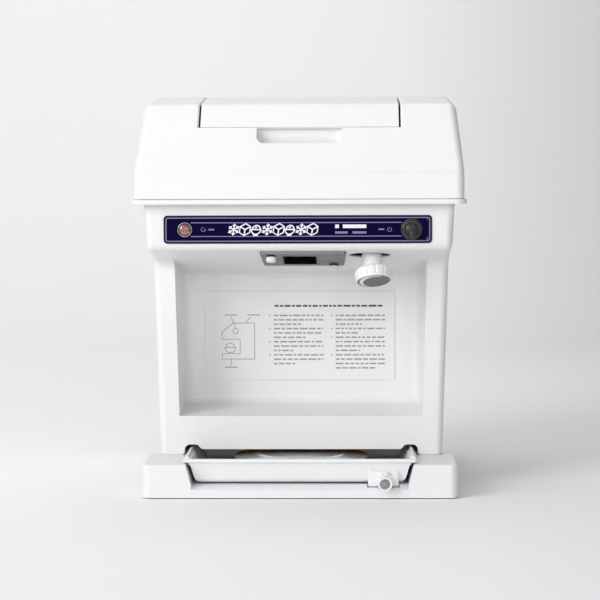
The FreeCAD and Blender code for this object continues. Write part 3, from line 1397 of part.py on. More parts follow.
def make_motor():
    """The motor hung under the deck, with its bracket, spacers, pulley and run capacitor."""
    middle = (0, S.motor_y, 0)
    body = turned("MotorTurn", [
        (S.motor_shaft_radius + 0.06, S.motor_bottom_z), (S.motor_radius - 8, S.motor_bottom_z, 3),
        (S.motor_radius - 6, S.motor_bottom_z + 16), (S.motor_radius, S.motor_bottom_z + 20, 2),
        (S.motor_radius, S.motor_top_z - 20, 2), (S.motor_radius - 6, S.motor_top_z - 16),
        (S.motor_radius - 8, S.motor_top_z, 3), (S.motor_shaft_radius + 0.06, S.motor_top_z),
    ], middle)
    node(body, "motor")
    bracket = prism("BracketPlate", "XY", rectangle(-60, 60, S.motor_y - 60, S.motor_y + 60, 8),
                    S.motor_top_z, S.motor_top_z + 4)
    pocket(bracket, "XY", (0, S.motor_y, 14), S.motor_top_z - 2, S.motor_top_z + 6)
    for x, y in spacer_places():
        pocket(bracket, "XY", (x, y, 3), S.motor_top_z - 2, S.motor_top_z + 6)
    node(bracket, "motor_bracket")
    bars = []
    for i, (x, y) in enumerate(spacer_places()):
        bars.append(turned(f"Spacer{i}", [
            (0, S.motor_top_z - 6), (5, S.motor_top_z - 6), (5, S.motor_top_z), (3, S.motor_top_z),
            (3, S.motor_top_z + 4), (6, S.motor_top_z + 4), (6, S.deck_z), (3, S.deck_z),
            (3, S.deck_z + S.deck_thick), (5, S.deck_z + S.deck_thick), (5, S.deck_z + S.deck_thick + 4),
            (0, S.deck_z + S.deck_thick + 4),
        ], (x, y, 0)))
    node(group("Spacers", *bars), "motor_spacers")
    shaft = rod("MotorShaftRod", S.motor_shaft_radius, S.pulley_z + 12 - S.motor_bottom_z - 4, (
        0, S.motor_y, S.motor_bottom_z + 4))
    node(shaft, "motor_shaft")
    pulley = turned("MotorPulleyTurn", groove_section(
        S.motor_shaft_radius, S.motor_pulley_radius + 5, S.pulley_z, S.pulley_thick), middle)
    node(pulley, "motor_pulley")
    can = turned("CapacitorTurn", [(0, 0), (17, 0, 2), (17, 66, 2), (0, 66)], (
        S.motor_radius + 45, S.motor_y - 30, S.arch_top_z + 6.5))
    node(can, "motor_capacitor")


def belt_loop(big, small, distance, z, height):
    """The solid of a band round two pulleys, by its reach at each of them."""
    lean = math.asin((big - small) / distance)
    cos, sin = math.cos(lean), math.sin(lean)
    first = FreeCAD.Vector(big * cos, big * sin, z)
    second = FreeCAD.Vector(small * cos, distance + small * sin, z)
    third = FreeCAD.Vector(-small * cos, distance + small * sin, z)
    fourth = FreeCAD.Vector(-big * cos, big * sin, z)
    far = FreeCAD.Vector(0, distance + small, z)
    near = FreeCAD.Vector(0, -big, z)
    wire = Part.Wire([
        Part.LineSegment(first, second).toShape(), Part.Arc(second, far, third).toShape(),
        Part.LineSegment(third, fourth).toShape(), Part.Arc(fourth, near, first).toShape(),
    ])
    return Part.Face(wire).extrude(FreeCAD.Vector(0, 0, height))


def make_belt():
    """The drive belt, a band in the two pulleys' grooves with a running gap to them."""
    distance = SIZES["motor_y"] - SIZES["drum_y"]
    big = SIZES["pulley_radius"] - 5 + SIZES["gap"] + 0.5
    small = SIZES["motor_pulley_radius"] + SIZES["gap"] + 0.5
    depth = 2.6
    width = 2.4
    z = SIZES["pulley_z"] + (SIZES["pulley_thick"] - width) / 2
    belt = doc.addObject("Part::Feature", "BeltPart")
    outside = belt_loop(big + depth, small + depth, distance, z, width)
    belt.Shape = outside.cut(belt_loop(big, small, distance, z, width))
    belt.Placement = FreeCAD.Placement(FreeCAD.Vector(0, SIZES["drum_y"], 0), FreeCAD.Rotation())
    node(belt, "drive_belt")


def make_hopper():
    """The funnel that leads the ice cubes from the lid's opening down into the drum."""
    body = doc.addObject("PartDesign::Body", "HopperBody")
    low, high = S.drum_top_z, S.lid_front_z - 14
    mouth = (-97, 97, S.hinge_y - 116, S.hinge_y - 8)
    throat = (-50, 50, S.drum_y - 50, S.drum_y + 50)

    def loft(kind, grow):
        sections = []
        for (x0, x1, y0, y1), z, radius in ((throat, low, 30), (mouth, high, 30)):
            sketch = new_sketch(body, "XY", z)
            draw(sketch, rectangle(x0 - grow, x1 + grow, size_of(y0) - grow, size_of(y1) + grow, radius + grow))
            sections.append(sketch)
        feature = body.newObject(kind, "HopperLoft")
        feature.Profile = sections[0]
        feature.Sections = [sections[1]]
        feature.Ruled = True
        return feature
    loft("PartDesign::AdditiveLoft", 2)
    doc.recompute()
    loft("PartDesign::SubtractiveLoft", 0)
    doc.recompute()
    rim = prism("HopperRim", "XY", rectangle(
        mouth[0] - 9, mouth[1] + 9, mouth[2] - 6, mouth[3] + 9, 34), high, high + 2)
    pocket(rim, "XY", rectangle(mouth[0], mouth[1], mouth[2], mouth[3], 30), high - 2, high + 4)
    seat = turned("HopperSeat", ring_outline(58, S.drum_radius, low, low + 2.5), (0, S.drum_y, 0))
    node(fuse("HopperPart", body, rim, seat), "ice_hopper")


for make in (
    make_base, make_feet, make_pan, make_spout, make_plate, make_body, make_covers, make_head_cover,
    make_flange, make_lid, make_label, make_toggle, make_reset, make_outlet, make_knob, make_blade,
    make_deck, make_drum, make_bearings, make_wing, make_motor, make_belt, make_hopper,
):
    make()
doc.recompute()

# ---------------------------------------------------------------- checks and files

faults = [obj.Name for obj in doc.Objects if {"Invalid", "Error"} & set(obj.State)]
faults += [obj.Label for obj in nodes if obj.Shape.isNull() or not obj.Shape.isValid()]
if faults:
    raise SystemExit(f"failed objects: {faults}")
for obj in nodes:
    size = obj.Shape.BoundBox
    print(f"{obj.Label:22s} solids {len(obj.Shape.Solids)} volume {obj.Shape.Volume:10.0f}",
          f"x {size.XMin:7.1f} {size.XMax:7.1f}", f"y {size.YMin:7.1f} {size.YMax:7.1f}",
          f"z {size.ZMin:6.1f} {size.ZMax:6.1f}")
    obj.Shape.exportStep(f"parts/{obj.Label}.step")
print(len(nodes), "sub-parts")
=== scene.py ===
"""White countertop shaved ice machine: materials, printed graphics, detailed small parts, studio."""
import json
import math
import random

import bmesh
import bpy
from mathutils import Matrix, Vector

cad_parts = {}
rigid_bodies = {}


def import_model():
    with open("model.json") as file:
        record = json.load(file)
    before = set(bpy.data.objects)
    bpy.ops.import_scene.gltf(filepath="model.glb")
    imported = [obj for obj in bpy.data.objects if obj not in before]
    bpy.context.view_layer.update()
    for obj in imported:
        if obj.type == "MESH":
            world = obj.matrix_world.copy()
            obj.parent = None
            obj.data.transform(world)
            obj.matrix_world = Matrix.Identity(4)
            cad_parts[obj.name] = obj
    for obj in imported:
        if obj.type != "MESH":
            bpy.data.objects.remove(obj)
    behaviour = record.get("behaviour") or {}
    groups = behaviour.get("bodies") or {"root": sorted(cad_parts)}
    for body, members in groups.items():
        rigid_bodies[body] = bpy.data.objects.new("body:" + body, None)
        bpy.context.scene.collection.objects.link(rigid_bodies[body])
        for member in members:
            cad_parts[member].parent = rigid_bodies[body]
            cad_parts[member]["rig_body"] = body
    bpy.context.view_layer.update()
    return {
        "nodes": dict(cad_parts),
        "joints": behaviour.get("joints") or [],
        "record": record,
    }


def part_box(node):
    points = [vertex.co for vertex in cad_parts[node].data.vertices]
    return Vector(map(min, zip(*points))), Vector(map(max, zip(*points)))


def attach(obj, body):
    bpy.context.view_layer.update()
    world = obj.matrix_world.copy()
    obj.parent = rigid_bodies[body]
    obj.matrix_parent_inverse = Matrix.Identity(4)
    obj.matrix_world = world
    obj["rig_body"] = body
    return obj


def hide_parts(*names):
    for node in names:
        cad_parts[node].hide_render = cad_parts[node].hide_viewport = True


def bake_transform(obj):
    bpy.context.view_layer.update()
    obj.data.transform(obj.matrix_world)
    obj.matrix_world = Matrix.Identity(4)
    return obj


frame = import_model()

MM = 0.001

# ---------------------------------------------------------------- materials


def new_material(name, colour, roughness, metallic=0.0, specular=0.5):
    """A material whose Principled shader keeps every constant on its own sockets."""
    material = bpy.data.materials.new(name)
    material.use_nodes = True
    shader = material.node_tree.nodes["Principled BSDF"]
    shader.inputs["Base Color"].default_value = (*colour, 1.0)
    shader.inputs["Roughness"].default_value = roughness
    shader.inputs["Metallic"].default_value = metallic
    shader.inputs["Specular IOR Level"].default_value = specular
    return material, shader


def object_noise(tree, scale, detail=3.0, stretch=(1, 1, 1), rough=0.5):
    """Noise in object space, which is the row frame in metres."""
    coords = tree.nodes.new("ShaderNodeTexCoord")
    mapping = tree.nodes.new("ShaderNodeMapping")
    mapping.inputs["Scale"].default_value = stretch
    noise = tree.nodes.new("ShaderNodeTexNoise")
    noise.inputs["Scale"].default_value = scale
    noise.inputs["Detail"].default_value = detail
    noise.inputs["Roughness"].default_value = rough
    tree.links.new(coords.outputs["Object"], mapping.inputs["Vector"])
    tree.links.new(mapping.outputs["Vector"], noise.inputs["Vector"])
    return noise.outputs["Fac"]


def remap(tree, value, low, high, new_low, new_high):
    """Map a varying value from one range to another."""
    node = tree.nodes.new("ShaderNodeMapRange")
    for socket, number in zip(("From Min", "From Max", "To Min", "To Max"), (low, high, new_low, new_high)):
        node.inputs[socket].default_value = number
    tree.links.new(value, node.inputs["Value"])
    return node.outputs["Result"]


def colour_ramp(tree, value, stops):
    """Turn a varying value into a colour."""
    ramp = tree.nodes.new("ShaderNodeValToRGB")
    elements = ramp.color_ramp.elements
    elements[0].position, elements[0].color = stops[0][0], (*stops[0][1], 1)
    elements[1].position, elements[1].color = stops[-1][0], (*stops[-1][1], 1)
    for place, colour in stops[1:-1]:
        elements.new(place).color = (*colour, 1)
    tree.links.new(value, ramp.inputs["Fac"])
    return ramp.outputs["Color"]


def add_bump(tree, shader, height, strength, distance):
    """Roughen the surface with a height."""
    bump = tree.nodes.new("ShaderNodeBump")
    bump.inputs["Strength"].default_value = strength
    bump.inputs["Distance"].default_value = distance
    tree.links.new(height, bump.inputs["Height"])
    tree.links.new(bump.outputs["Normal"], shader.inputs["Normal"])


def shade(colour, factor):
    """A colour made lighter or darker by a factor."""
    return tuple(min(1.0, part * factor) for part in colour)


def moulded_plastic(name, colour, roughness=0.34, orange_peel=0.18, spread=0.02):
    """Moulded plastic: faint blotches of shade, uneven gloss and a fine moulded skin."""
    material, shader = new_material(name, colour, roughness)
    tree = material.node_tree
    blotch = object_noise(tree, 14.0, 4.0)
    stops = [(0.3, shade(colour, 1 - spread)), (0.7, shade(colour, 1 + spread))]
    tree.links.new(colour_ramp(tree, blotch, stops), shader.inputs["Base Color"])
    gloss = object_noise(tree, 55.0, 5.0, rough=0.65)
    uneven = remap(tree, gloss, 0.3, 0.7, roughness - 0.05, roughness + 0.07)
    tree.links.new(uneven, shader.inputs["Roughness"])
    skin = object_noise(tree, 900.0, 2.0)
    add_bump(tree, shader, skin, orange_peel, 0.00012)
    return material


def brushed_metal(name, colour, roughness=0.3, stretch=(1, 40, 1), scale=60.0, strength=0.25):
    """Metal with fine parallel scratches and a little tarnish."""
    material, shader = new_material(name, colour, roughness, metallic=1.0)
    tree = material.node_tree
    lines = object_noise(tree, scale, 6.0, stretch, 0.7)
    uneven = remap(tree, lines, 0.3, 0.7, roughness - 0.1, roughness + 0.14)
    tree.links.new(uneven, shader.inputs["Roughness"])
    stain = object_noise(tree, 22.0, 4.0)
    stops = [(0.35, shade(colour, 0.9)), (0.65, shade(colour, 1.06))]
    tree.links.new(colour_ramp(tree, stain, stops), shader.inputs["Base Color"])
    add_bump(tree, shader, lines, strength, 0.00006)
    return material


def ring_brushed(name, colour, centre, rings):
    """Metal spun on a lathe: scratches run round the centre, and rings of shade lie between them."""
    material, shader = new_material(name, colour, 0.24, metallic=0.6)
    tree = material.node_tree
    coords = tree.nodes.new("ShaderNodeTexCoord")
    shift = tree.nodes.new("ShaderNodeVectorMath")
    shift.operation = "SUBTRACT"
    shift.inputs[1].default_value = centre
    flat = tree.nodes.new("ShaderNodeVectorMath")
    flat.operation = "MULTIPLY"
    flat.inputs[1].default_value = (1, 1, 0)
    reach = tree.nodes.new("ShaderNodeVectorMath")
    reach.operation = "LENGTH"
    tree.links.new(coords.outputs["Object"], shift.inputs[0])
    tree.links.new(shift.outputs["Vector"], flat.inputs[0])
    tree.links.new(flat.outputs["Vector"], reach.inputs[0])
    noise = tree.nodes.new("ShaderNodeTexNoise")
    noise.noise_dimensions = "1D"
    noise.inputs["Scale"].default_value = rings
    noise.inputs["Detail"].default_value = 6.0
    tree.links.new(reach.outputs["Value"], noise.inputs["W"])
    tree.links.new(remap(tree, noise.outputs["Fac"], 0.3, 0.7, 0.2, 0.28), shader.inputs["Roughness"])
    stops = [(0.3, shade(colour, 0.94)), (0.7, shade(colour, 1.04))]
    tree.links.new(colour_ramp(tree, noise.outputs["Fac"], stops), shader.inputs["Base Color"])
    add_bump(tree, shader, noise.outputs["Fac"], 0.05, 0.00005)
    return material


def rubber(name, colour=(0.018, 0.018, 0.02), roughness=0.55):
    """Moulded rubber with a dusty bloom."""
    material, shader = new_material(name, colour, roughness, specular=0.4)
    tree = material.node_tree
    dust = object_noise(tree, 260.0, 6.0, rough=0.7)
    stops = [(0.35, colour), (0.75, shade(colour, 2.2))]
    tree.links.new(colour_ramp(tree, dust, stops), shader.inputs["Base Color"])
    uneven = remap(tree, dust, 0.3, 0.7, roughness - 0.1, roughness + 0.12)
    tree.links.new(uneven, shader.inputs["Roughness"])
    add_bump(tree, shader, dust, 0.3, 0.0001)
    return material


def printed_film(name, colour, roughness=0.22, specular=0.5, spread=0.08):
    """Screen-printed film under a clear gloss, with a faint weave of the print."""
    material, shader = new_material(name, colour, roughness, specular=specular)
    tree = material.node_tree
    grain = object_noise(tree, 700.0, 3.0)
    stops = [(0.3, shade(colour, 1 - spread)), (0.7, shade(colour, 1 + spread))]
    tree.links.new(colour_ramp(tree, grain, stops), shader.inputs["Base Color"])
    smear = object_noise(tree, 30.0, 4.0)
    uneven = remap(tree, smear, 0.3, 0.7, roughness - 0.04, roughness + 0.08)
    tree.links.new(uneven, shader.inputs["Roughness"])
    add_bump(tree, shader, grain, 0.06, 0.00005)
    return material


def cast_metal(name, colour, roughness=0.45):
    """Cast metal with a sandy skin."""
    material, shader = new_material(name, colour, roughness, metallic=1.0)
    tree = material.node_tree
    sand = object_noise(tree, 420.0, 6.0, rough=0.7)
    stops = [(0.3, shade(colour, 0.8)), (0.7, shade(colour, 1.08))]
    tree.links.new(colour_ramp(tree, sand, stops), shader.inputs["Base Color"])
    uneven = remap(tree, sand, 0.3, 0.7, roughness - 0.1, roughness + 0.12)
    tree.links.new(uneven, shader.inputs["Roughness"])
    add_bump(tree, shader, sand, 0.4, 0.00025)
    return material


def clear_plastic(name):
    """Clear moulded plastic with a faint red tint."""
    material, shader = new_material(name, (0.9, 0.66, 0.66), 0.06)
    tree = material.node_tree
    shader.inputs["Transmission Weight"].default_value = 0.92
    shader.inputs["IOR"].default_value = 1.46
    haze = object_noise(tree, 400.0, 3.0)
    tree.links.new(remap(tree, haze, 0.3, 0.7, 0.04, 0.12), shader.inputs["Roughness"])
    return material


def laminate(name, colour):
    """Brown laminate board with long fibres."""
    material, shader = new_material(name, colour, 0.4)
    tree = material.node_tree
    fibre = object_noise(tree, 30.0, 6.0, (1, 12, 1), 0.7)
    stops = [(0.3, shade(colour, 0.75)), (0.7, shade(colour, 1.25))]
    tree.links.new(colour_ramp(tree, fibre, stops), shader.inputs["Base Color"])
    add_bump(tree, shader, fibre, 0.2, 0.0002)
    return material


PLATE_LOW, PLATE_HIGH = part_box("bowl_plate")
PLATE_CENTRE = (PLATE_LOW + PLATE_HIGH) / 2

LOOKS = {
    "body_white": moulded_plastic("body_white", (0.80, 0.803, 0.80), 0.36, 0.1, 0.008),
    "cover_white": moulded_plastic("cover_white", (0.81, 0.81, 0.81), 0.38, 0.1, 0.008),
    "base_white": moulded_plastic("base_white", (0.80, 0.81, 0.825), 0.36, 0.1, 0.008),
    "pan_white": moulded_plastic("pan_white", (0.82, 0.83, 0.84), 0.3, 0.03, 0.008),
    "knob_white": moulded_plastic("knob_white", (0.84, 0.84, 0.83), 0.28, 0.1),
    "screw_white": moulded_plastic("screw_white", (0.82, 0.82, 0.81), 0.3, 0.1),
    "knob_face_grey": moulded_plastic("knob_face_grey", (0.13, 0.13, 0.14), 0.4, 0.2, 0.08),
    "stainless": brushed_metal("stainless", (0.21, 0.21, 0.205), 0.42, (40, 1, 1)),
    "steel_plate": brushed_metal("steel_plate", (0.19, 0.19, 0.185), 0.5, (60, 1, 1)),
    "fastener_steel": brushed_metal("fastener_steel", (0.5, 0.5, 0.5), 0.3, (1, 1, 20)),
    "label_indigo": printed_film("label_indigo", (0.0035, 0.001, 0.030), 0.42, 0.03),
    "plate_print": printed_film("plate_print", (0.79, 0.80, 0.80), 0.4, 0.4, 0.006),
    "black_rubber": rubber("black_rubber"),
    "chrome_ring": brushed_metal("chrome_ring", (0.75, 0.75, 0.76), 0.16, (1, 1, 1), 200.0, 0.05),
    "red_plastic": moulded_plastic("red_plastic", (0.50, 0.018, 0.014), 0.3, 0.05, 0.06),
    "clear_plastic": clear_plastic("clear_plastic"),
    "black_plastic": moulded_plastic("black_plastic", (0.008, 0.008, 0.009), 0.5, 0.3, 0.1),
    "brown_panel": laminate("brown_panel", (0.66, 0.33, 0.075)),
    "cast_aluminium": cast_metal("cast_aluminium", (0.62, 0.63, 0.64)),
    "bearing_steel": brushed_metal("bearing_steel", (0.6, 0.6, 0.6), 0.22),
    "brass": brushed_metal("brass", (0.72, 0.52, 0.22), 0.3),
    "motor_paint": moulded_plastic("motor_paint", (0.12, 0.13, 0.14), 0.5, 0.4, 0.1),
    "hopper_clear": moulded_plastic("hopper_clear", (0.74, 0.78, 0.82), 0.3, 0.1),
}
WHITE_INK = printed_film("white_ink", (0.84, 0.82, 0.90), 0.4, 0.3, 0.03)
LILAC_INK = printed_film("lilac_ink", (0.24, 0.19, 0.35), 0.4, 0.2)
FAINT_INK = printed_film("faint_ink", (0.16, 0.13, 0.27), 0.4, 0.3)
EDGE_INK = printed_film("edge_ink", (0.010, 0.008, 0.020), 0.4, 0.2)
DARK_INK = printed_film("dark_ink", (0.045, 0.045, 0.05), 0.4)
GREY_INK = printed_film("grey_ink", (0.30, 0.30, 0.31), 0.4)
BOOT_GREY = rubber("boot_grey", (0.022, 0.021, 0.022), 0.34)
# The outlet duct's black plastic, made darker still and almost without gloss: painted shade for the dark
# inside of the ice opening.
DUCT_BLACK_PAINTED_SHADE = printed_film("duct_black_painted_shade", (0.003, 0.003, 0.003), 0.6, 0.04)
SPUN_STEEL = ring_brushed("spun_steel", (0.66, 0.66, 0.66), PLATE_CENTRE, 350.0)


def dress_cad_nodes():
    """Give every CAD node its slot's material, welded seams and a small soft edge."""
    slots = {part["node"]: part["material_slot"] for part in frame["record"]["subparts"]}
    large = {"base", "body_shell", "head_cover", "cover_flange", "lid", "drain_pan"}
    # The outlet duct takes the deeper black of painted shade in place of its slot's black plastic.
    special = {"bowl_plate": SPUN_STEEL, "outlet_duct": DUCT_BLACK_PAINTED_SHADE}
    for name, piece in frame["nodes"].items():
        look = special.get(name, LOOKS[slots[name]])
        piece.data.materials.clear()
        piece.data.materials.append(look)
        for polygon in piece.data.polygons:
            polygon.material_index = 0
            polygon.use_smooth = True
        weld = piece.modifiers.new("weld", "WELD")
        weld.merge_threshold = 0.00001
        soften = piece.modifiers.new("soften", "BEVEL")
        soften.width = (0.8 if name in large else 0.25) * MM
        soften.segments = 2
        soften.limit_method = "ANGLE"
        soften.angle_limit = math.radians(35)
        soften.harden_normals = True
        soften.use_clamp_overlap = True
        level = piece.modifiers.new("level", "WEIGHTED_NORMAL")
        level.keep_sharp = True


dress_cad_nodes()


# ---------------------------------------------------------------- mesh helpers

def add_piece(name, mesh, look, body, stands_for=(), edge=0.0):
    """Put a finished mesh into the scene, riding on its body if it has one."""
    mesh.materials.clear()
    mesh.materials.append(look)
    mesh.shade_smooth()
    mesh.set_sharp_from_angle(angle=math.radians(38))
    piece = bpy.data.objects.new(name, mesh)
    bpy.context.scene.collection.objects.link(piece)
    if edge:
        soften = piece.modifiers.new("soften", "BEVEL")
        soften.width = edge * MM
        soften.segments = 3
        soften.limit_method = "ANGLE"
        soften.angle_limit = math.radians(38)
        soften.harden_normals = True
    if body:
        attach(piece, body)
    if stands_for:
        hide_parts(*stands_for)
    return piece


def tidy_mesh(mesh):
    """Join the vertices that meet and turn every face outwards."""
    joined = 1e-7
    work = bmesh.new()
    work.from_mesh(mesh)
    bmesh.ops.remove_doubles(work, verts=work.verts, dist=joined)
    bmesh.ops.recalc_face_normals(work, faces=work.faces)
    work.to_mesh(mesh)
    work.free()
    return mesh


def lathe(name, profile, segments=96, shape=None, hollow=False):
    """Turn a profile of (radius, height) points, in millimetres, about Z.

    shape changes the radius by angle, and hollow joins the profile's last point to its first."""
    vertices, rings = [], []
    for radius, height in profile:
        count = 1 if radius == 0 else segments
        rings.append([len(vertices) + step for step in range(count)])
        for step in range(count):
            angle = 2 * math.pi * step / segments
            reach = shape(angle, radius, height) if shape and radius else radius
            vertices.append((reach * math.cos(angle) * MM, reach * math.sin(angle) * MM, height * MM))
    if hollow:
        rings.append(rings[0])
    faces = []
    for low, high in zip(rings, rings[1:]):
        for step in range(segments):
            ahead = (step + 1) % segments
            lower = [low[step % len(low)], low[ahead % len(low)]]
            upper = [high[ahead % len(high)], high[step % len(high)]]
            faces.append(list(dict.fromkeys(lower + upper)))
    mesh = bpy.data.meshes.new(name)
    mesh.from_pydata(vertices, [], faces)
    return tidy_mesh(mesh)


def stand(place, direction, sideways=(1, 0, 0)):
    """The matrix that stands a turned mesh on a place, with its Z along a direction and its X sideways."""
    up = Vector(direction).normalized()
    side = Vector(sideways)
    side = (side - up * side.dot(up)).normalized()
    turn = Matrix((side, up.cross(side), up)).transposed().to_4x4()
    return Matrix.Translation(Vector(place)) @ turn


def moved(mesh, matrix):
    """The mesh itself, after the matrix has moved its vertices."""
    mesh.transform(matrix)
    return mesh


def gathered(name, parts):
    """One mesh from (mesh, matrix) pairs."""
    work = bmesh.new()
    for mesh, matrix in parts:
        copy = mesh.copy()
        copy.transform(matrix)
        work.from_mesh(copy)
        bpy.data.meshes.remove(copy)
    whole = bpy.data.meshes.new(name)
    work.to_mesh(whole)
    work.free()
    return whole


def from_curve(curve):
    """The mesh of a curve."""
    holder = bpy.data.objects.new(curve.name, curve)
    bpy.context.scene.collection.objects.link(holder)
    bpy.context.view_layer.update()
    mesh = bpy.data.meshes.new_from_object(holder.evaluated_get(bpy.context.evaluated_depsgraph_get()))
    bpy.data.objects.remove(holder)
    bpy.data.curves.remove(curve)
    return tidy_mesh(mesh)


def add_spline(curve, points, closed):
    """Add a straight-sided line through (x, z) points in millimetres."""
    spline = curve.splines.new("POLY")
    spline.points.add(len(points) - 1)
    for point, (x, z) in zip(spline.points, points):
        point.co = (x * MM, z * MM, 0, 1)
    spline.use_cyclic_u = closed


FACING_FRONT = Matrix.Rotation(math.pi / 2, 4, "X")


def flat_plate(name, outlines, centre, thick, matrix=FACING_FRONT):
    """A thin plate cut from closed outlines round a centre; an outline inside another is a hole."""
    curve = bpy.data.curves.new(name, "CURVE")
    curve.dimensions = "2D"
    curve.fill_mode = "BOTH"
    curve.extrude = thick / 2 * MM
    for outline in outlines:
        add_spline(curve, outline, True)
    return moved(from_curve(curve), Matrix.Translation(centre) @ matrix)


def ink(name, strokes, width, centre):
    """Screen-printed lines: each stroke is a thin swelling of ink, a tenth as high as it is wide."""
    curve = bpy.data.curves.new(name, "CURVE")
    curve.dimensions = "3D"
    curve.bevel_depth = width / 2 * MM
    curve.bevel_resolution = 2
    curve.use_fill_caps = True
    for stroke in strokes:
        add_spline(curve, stroke, False)
    flatten = Matrix.Scale(0.1, 4, (0, 0, 1))
    return moved(from_curve(curve), Matrix.Translation(centre) @ FACING_FRONT @ flatten)


def add_print(name, strokes, width, centre, look):
    """Put printed lines on the machine."""
    add_piece(name, ink(name, strokes, width, centre), look, "machine")


def rounded_rectangle(half_x, half_z, radius):
    """Outline of a rectangle about the origin, with six steps to each round corner."""
    points = []
    steps = 6
    for corner, (side_x, side_z) in enumerate(((1, 1), (-1, 1), (-1, -1), (1, -1))):
        for step in range(steps + 1):
            angle = math.pi / 2 * (corner + step / steps)
            points.append((side_x * (half_x - radius) + radius * math.cos(angle),
                           side_z * (half_z - radius) + radius * math.sin(angle)))
    return points


def arc(x, z, radius, start, end, steps=20):
    """Points along an arc, by its angles in degrees."""
    angles = [math.radians(start + (end - start) * step / steps) for step in range(steps + 1)]
    return [(x + radius * math.cos(angle), z + radius * math.sin(angle)) for angle in angles]


def islands(name):
    """The boxes of a CAD node's separate solids, in a steady order."""
    mesh = frame["nodes"][name].data
    keys = [tuple(round(part, 6) for part in vertex.co) for vertex in mesh.vertices]
    owner = {key: key for key in keys}

    def root(key):
        """The vertex that stands for a vertex's whole solid."""
        while owner[key] != key:
            owner[key] = owner[owner[key]]
            key = owner[key]
        return key
    for edge in mesh.edges:
        owner[root(keys[edge.vertices[0]])] = root(keys[edge.vertices[1]])
    groups = {}
    for key in owner:
        groups.setdefault(root(key), []).append(key)
    boxes = [
        (Vector(min(axis) for axis in zip(*points)), Vector(max(axis) for axis in zip(*points)))
        for points in groups.values()
    ]
    return sorted(boxes, key=lambda box: tuple(round(part, 4) for part in box[0]))


# ---------------------------------------------------------------- label panel

def label_face():
    """Middle of the label panel's front face."""
    low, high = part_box("label_panel")
    return Vector(((low.x + high.x) / 2, low.y, (low.z + high.z) / 2))


def slanted(strokes, x, lean=0.16):
    """Strokes moved along the label and leaned like italics."""
    return [[(u + v * lean + x, v) for u, v in stroke] for stroke in strokes]


def flake(size):
    """A snowflake: six arms, each with a pair of barbs."""
    strokes = []
    for arm in range(6):
        angle = math.radians(30 + 60 * arm)
        tip = (size * math.cos(angle), size * math.sin(angle))
        strokes.append([(0, 0), tip])
        knee = (tip[0] * 0.55, tip[1] * 0.55)
        for side in (-1, 1):
            barb = angle + side * math.radians(50)
            reach = size * 0.34
            strokes.append([knee, (knee[0] + reach * math.cos(barb), knee[1] + reach * math.sin(barb))])
    return strokes


def ice_cube(size):
    """A cube seen from its corner."""
    rim = arc(0, 0, size, 90, 450, 6)
    return [rim, [(0, 0), rim[1]], [(0, 0), rim[3]], [(0, 0), rim[5]]]


def heaped_bowl(size):
    """A footed bowl with a heap of shaved ice."""
    bowl = [(-size * 0.85, 0)] + arc(0, 0, size * 0.8, 195, 345, 10) + [(size * 0.85, 0)]
    heap = arc(0, 0, size * 0.68, 0, 180, 12)
    foot = [(-size * 0.4, -size * 0.98), (size * 0.4, -size * 0.98)]
    return [bowl, heap, [bowl[0], bowl[-1]], foot, [(-size * 0.25, size * 0.28), (size * 0.1, size * 0.42)]]


def make_label_print():
    """Border, pinstripes and pictograms on the label; bars stand where a maker's words would be."""
    face = label_face()
    low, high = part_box("label_panel")
    half_x, half_z = (high.x - low.x) / 2 / MM, (high.z - low.z) / 2 / MM
    rim = [rounded_rectangle(half_x, half_z, 4), rounded_rectangle(half_x - 1.1, half_z - 1.1, 3)]
    add_piece("label_rim", flat_plate("label_rim", rim, face, 0.24), EDGE_INK, "machine")
    outer = rounded_rectangle(half_x - 2.0, half_z - 2.0, 2.4)
    inner = rounded_rectangle(half_x - 3.1, half_z - 3.1, 1.5)
    border = flat_plate("label_border", [outer, inner], face, 0.16)
    add_piece("label_border", border, LILAC_INK, "machine")
    reset = (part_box("reset_ring")[1].x - face.x) / MM
    toggle = (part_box("toggle_boot_ring")[0].x - face.x) / MM
    stripes = [[(reset - 1.5, z), (toggle + 1.0, z)] for z in (-7.1, 7.1)]
    add_print("label_stripes", stripes, 0.95, face, LILAC_INK)
    title = []
    for index, mark in enumerate((flake, ice_cube, heaped_bowl) * 2 + (flake, ice_cube)):
        title += slanted(mark(6.2), -66.5 + 11.7 * index)
    add_print("label_pictograms", title, 1.35, face, WHITE_INK)
    bars = [[(39.0, 3.1), (43.0, 3.1)], [(47.0, 3.1), (71.5, 3.1)]]
    add_print("label_bars", bars, 3.8, face, WHITE_INK)
    small = [[(39, -3.3), (52, -3.3)], [(57, -3.3), (71.5, -3.3)]]
    add_print("label_small_bars", small, 2.4, face, LILAC_INK)
    make_control_marks(face, reset, toggle)


def make_control_marks(face, reset, toggle):
    """A turning arrow by the reset button, and power marks by the toggle."""
    turn_x = reset + 11.5
    tip = (turn_x + 2.1, 0.4)
    barbs = [(tip[0] - 1.3, tip[1] - 1.1), tip, (tip[0] + 1.2, tip[1] - 1.3)]
    arrow = [arc(turn_x, 0, 2.1, 60, 360), barbs]
    power_x = toggle - 11.5
    power = [arc(power_x, -0.2, 2.1, -230, 50), [(power_x, 0.4), (power_x, 2.6)]]
    words = [[(turn_x + 5.5, 0), (turn_x + 11.5, 0)], [(power_x - 11.5, 0), (power_x - 5.5, 0)]]
    add_print("control_marks", arrow + power, 0.6, face, LILAC_INK)
    add_print("control_bars", words, 1.5, face, LILAC_INK)
    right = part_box("toggle_boot_ring")[1].x / MM - face.x / MM
    on_off = [[(right + 5.0, 9.2), (right + 5.0, 11.6)], arc(right + 5.0, -9.8, 1.2, 0, 360)]
    add_print("power_marks", on_off, 0.6, face, FAINT_INK)


# ---------------------------------------------------------------- instruction plate

def text_row(rng, left, right, z):
    """One row of word-like bars between two ends."""
    strokes = []
    x = left
    while x < right - 1.5:
        word = min(rng.uniform(3.0, 9.5), right - x)
        strokes.append([(x + 0.3, z), (x + word - 0.3, z)])
        x += word + 1.0
    return strokes


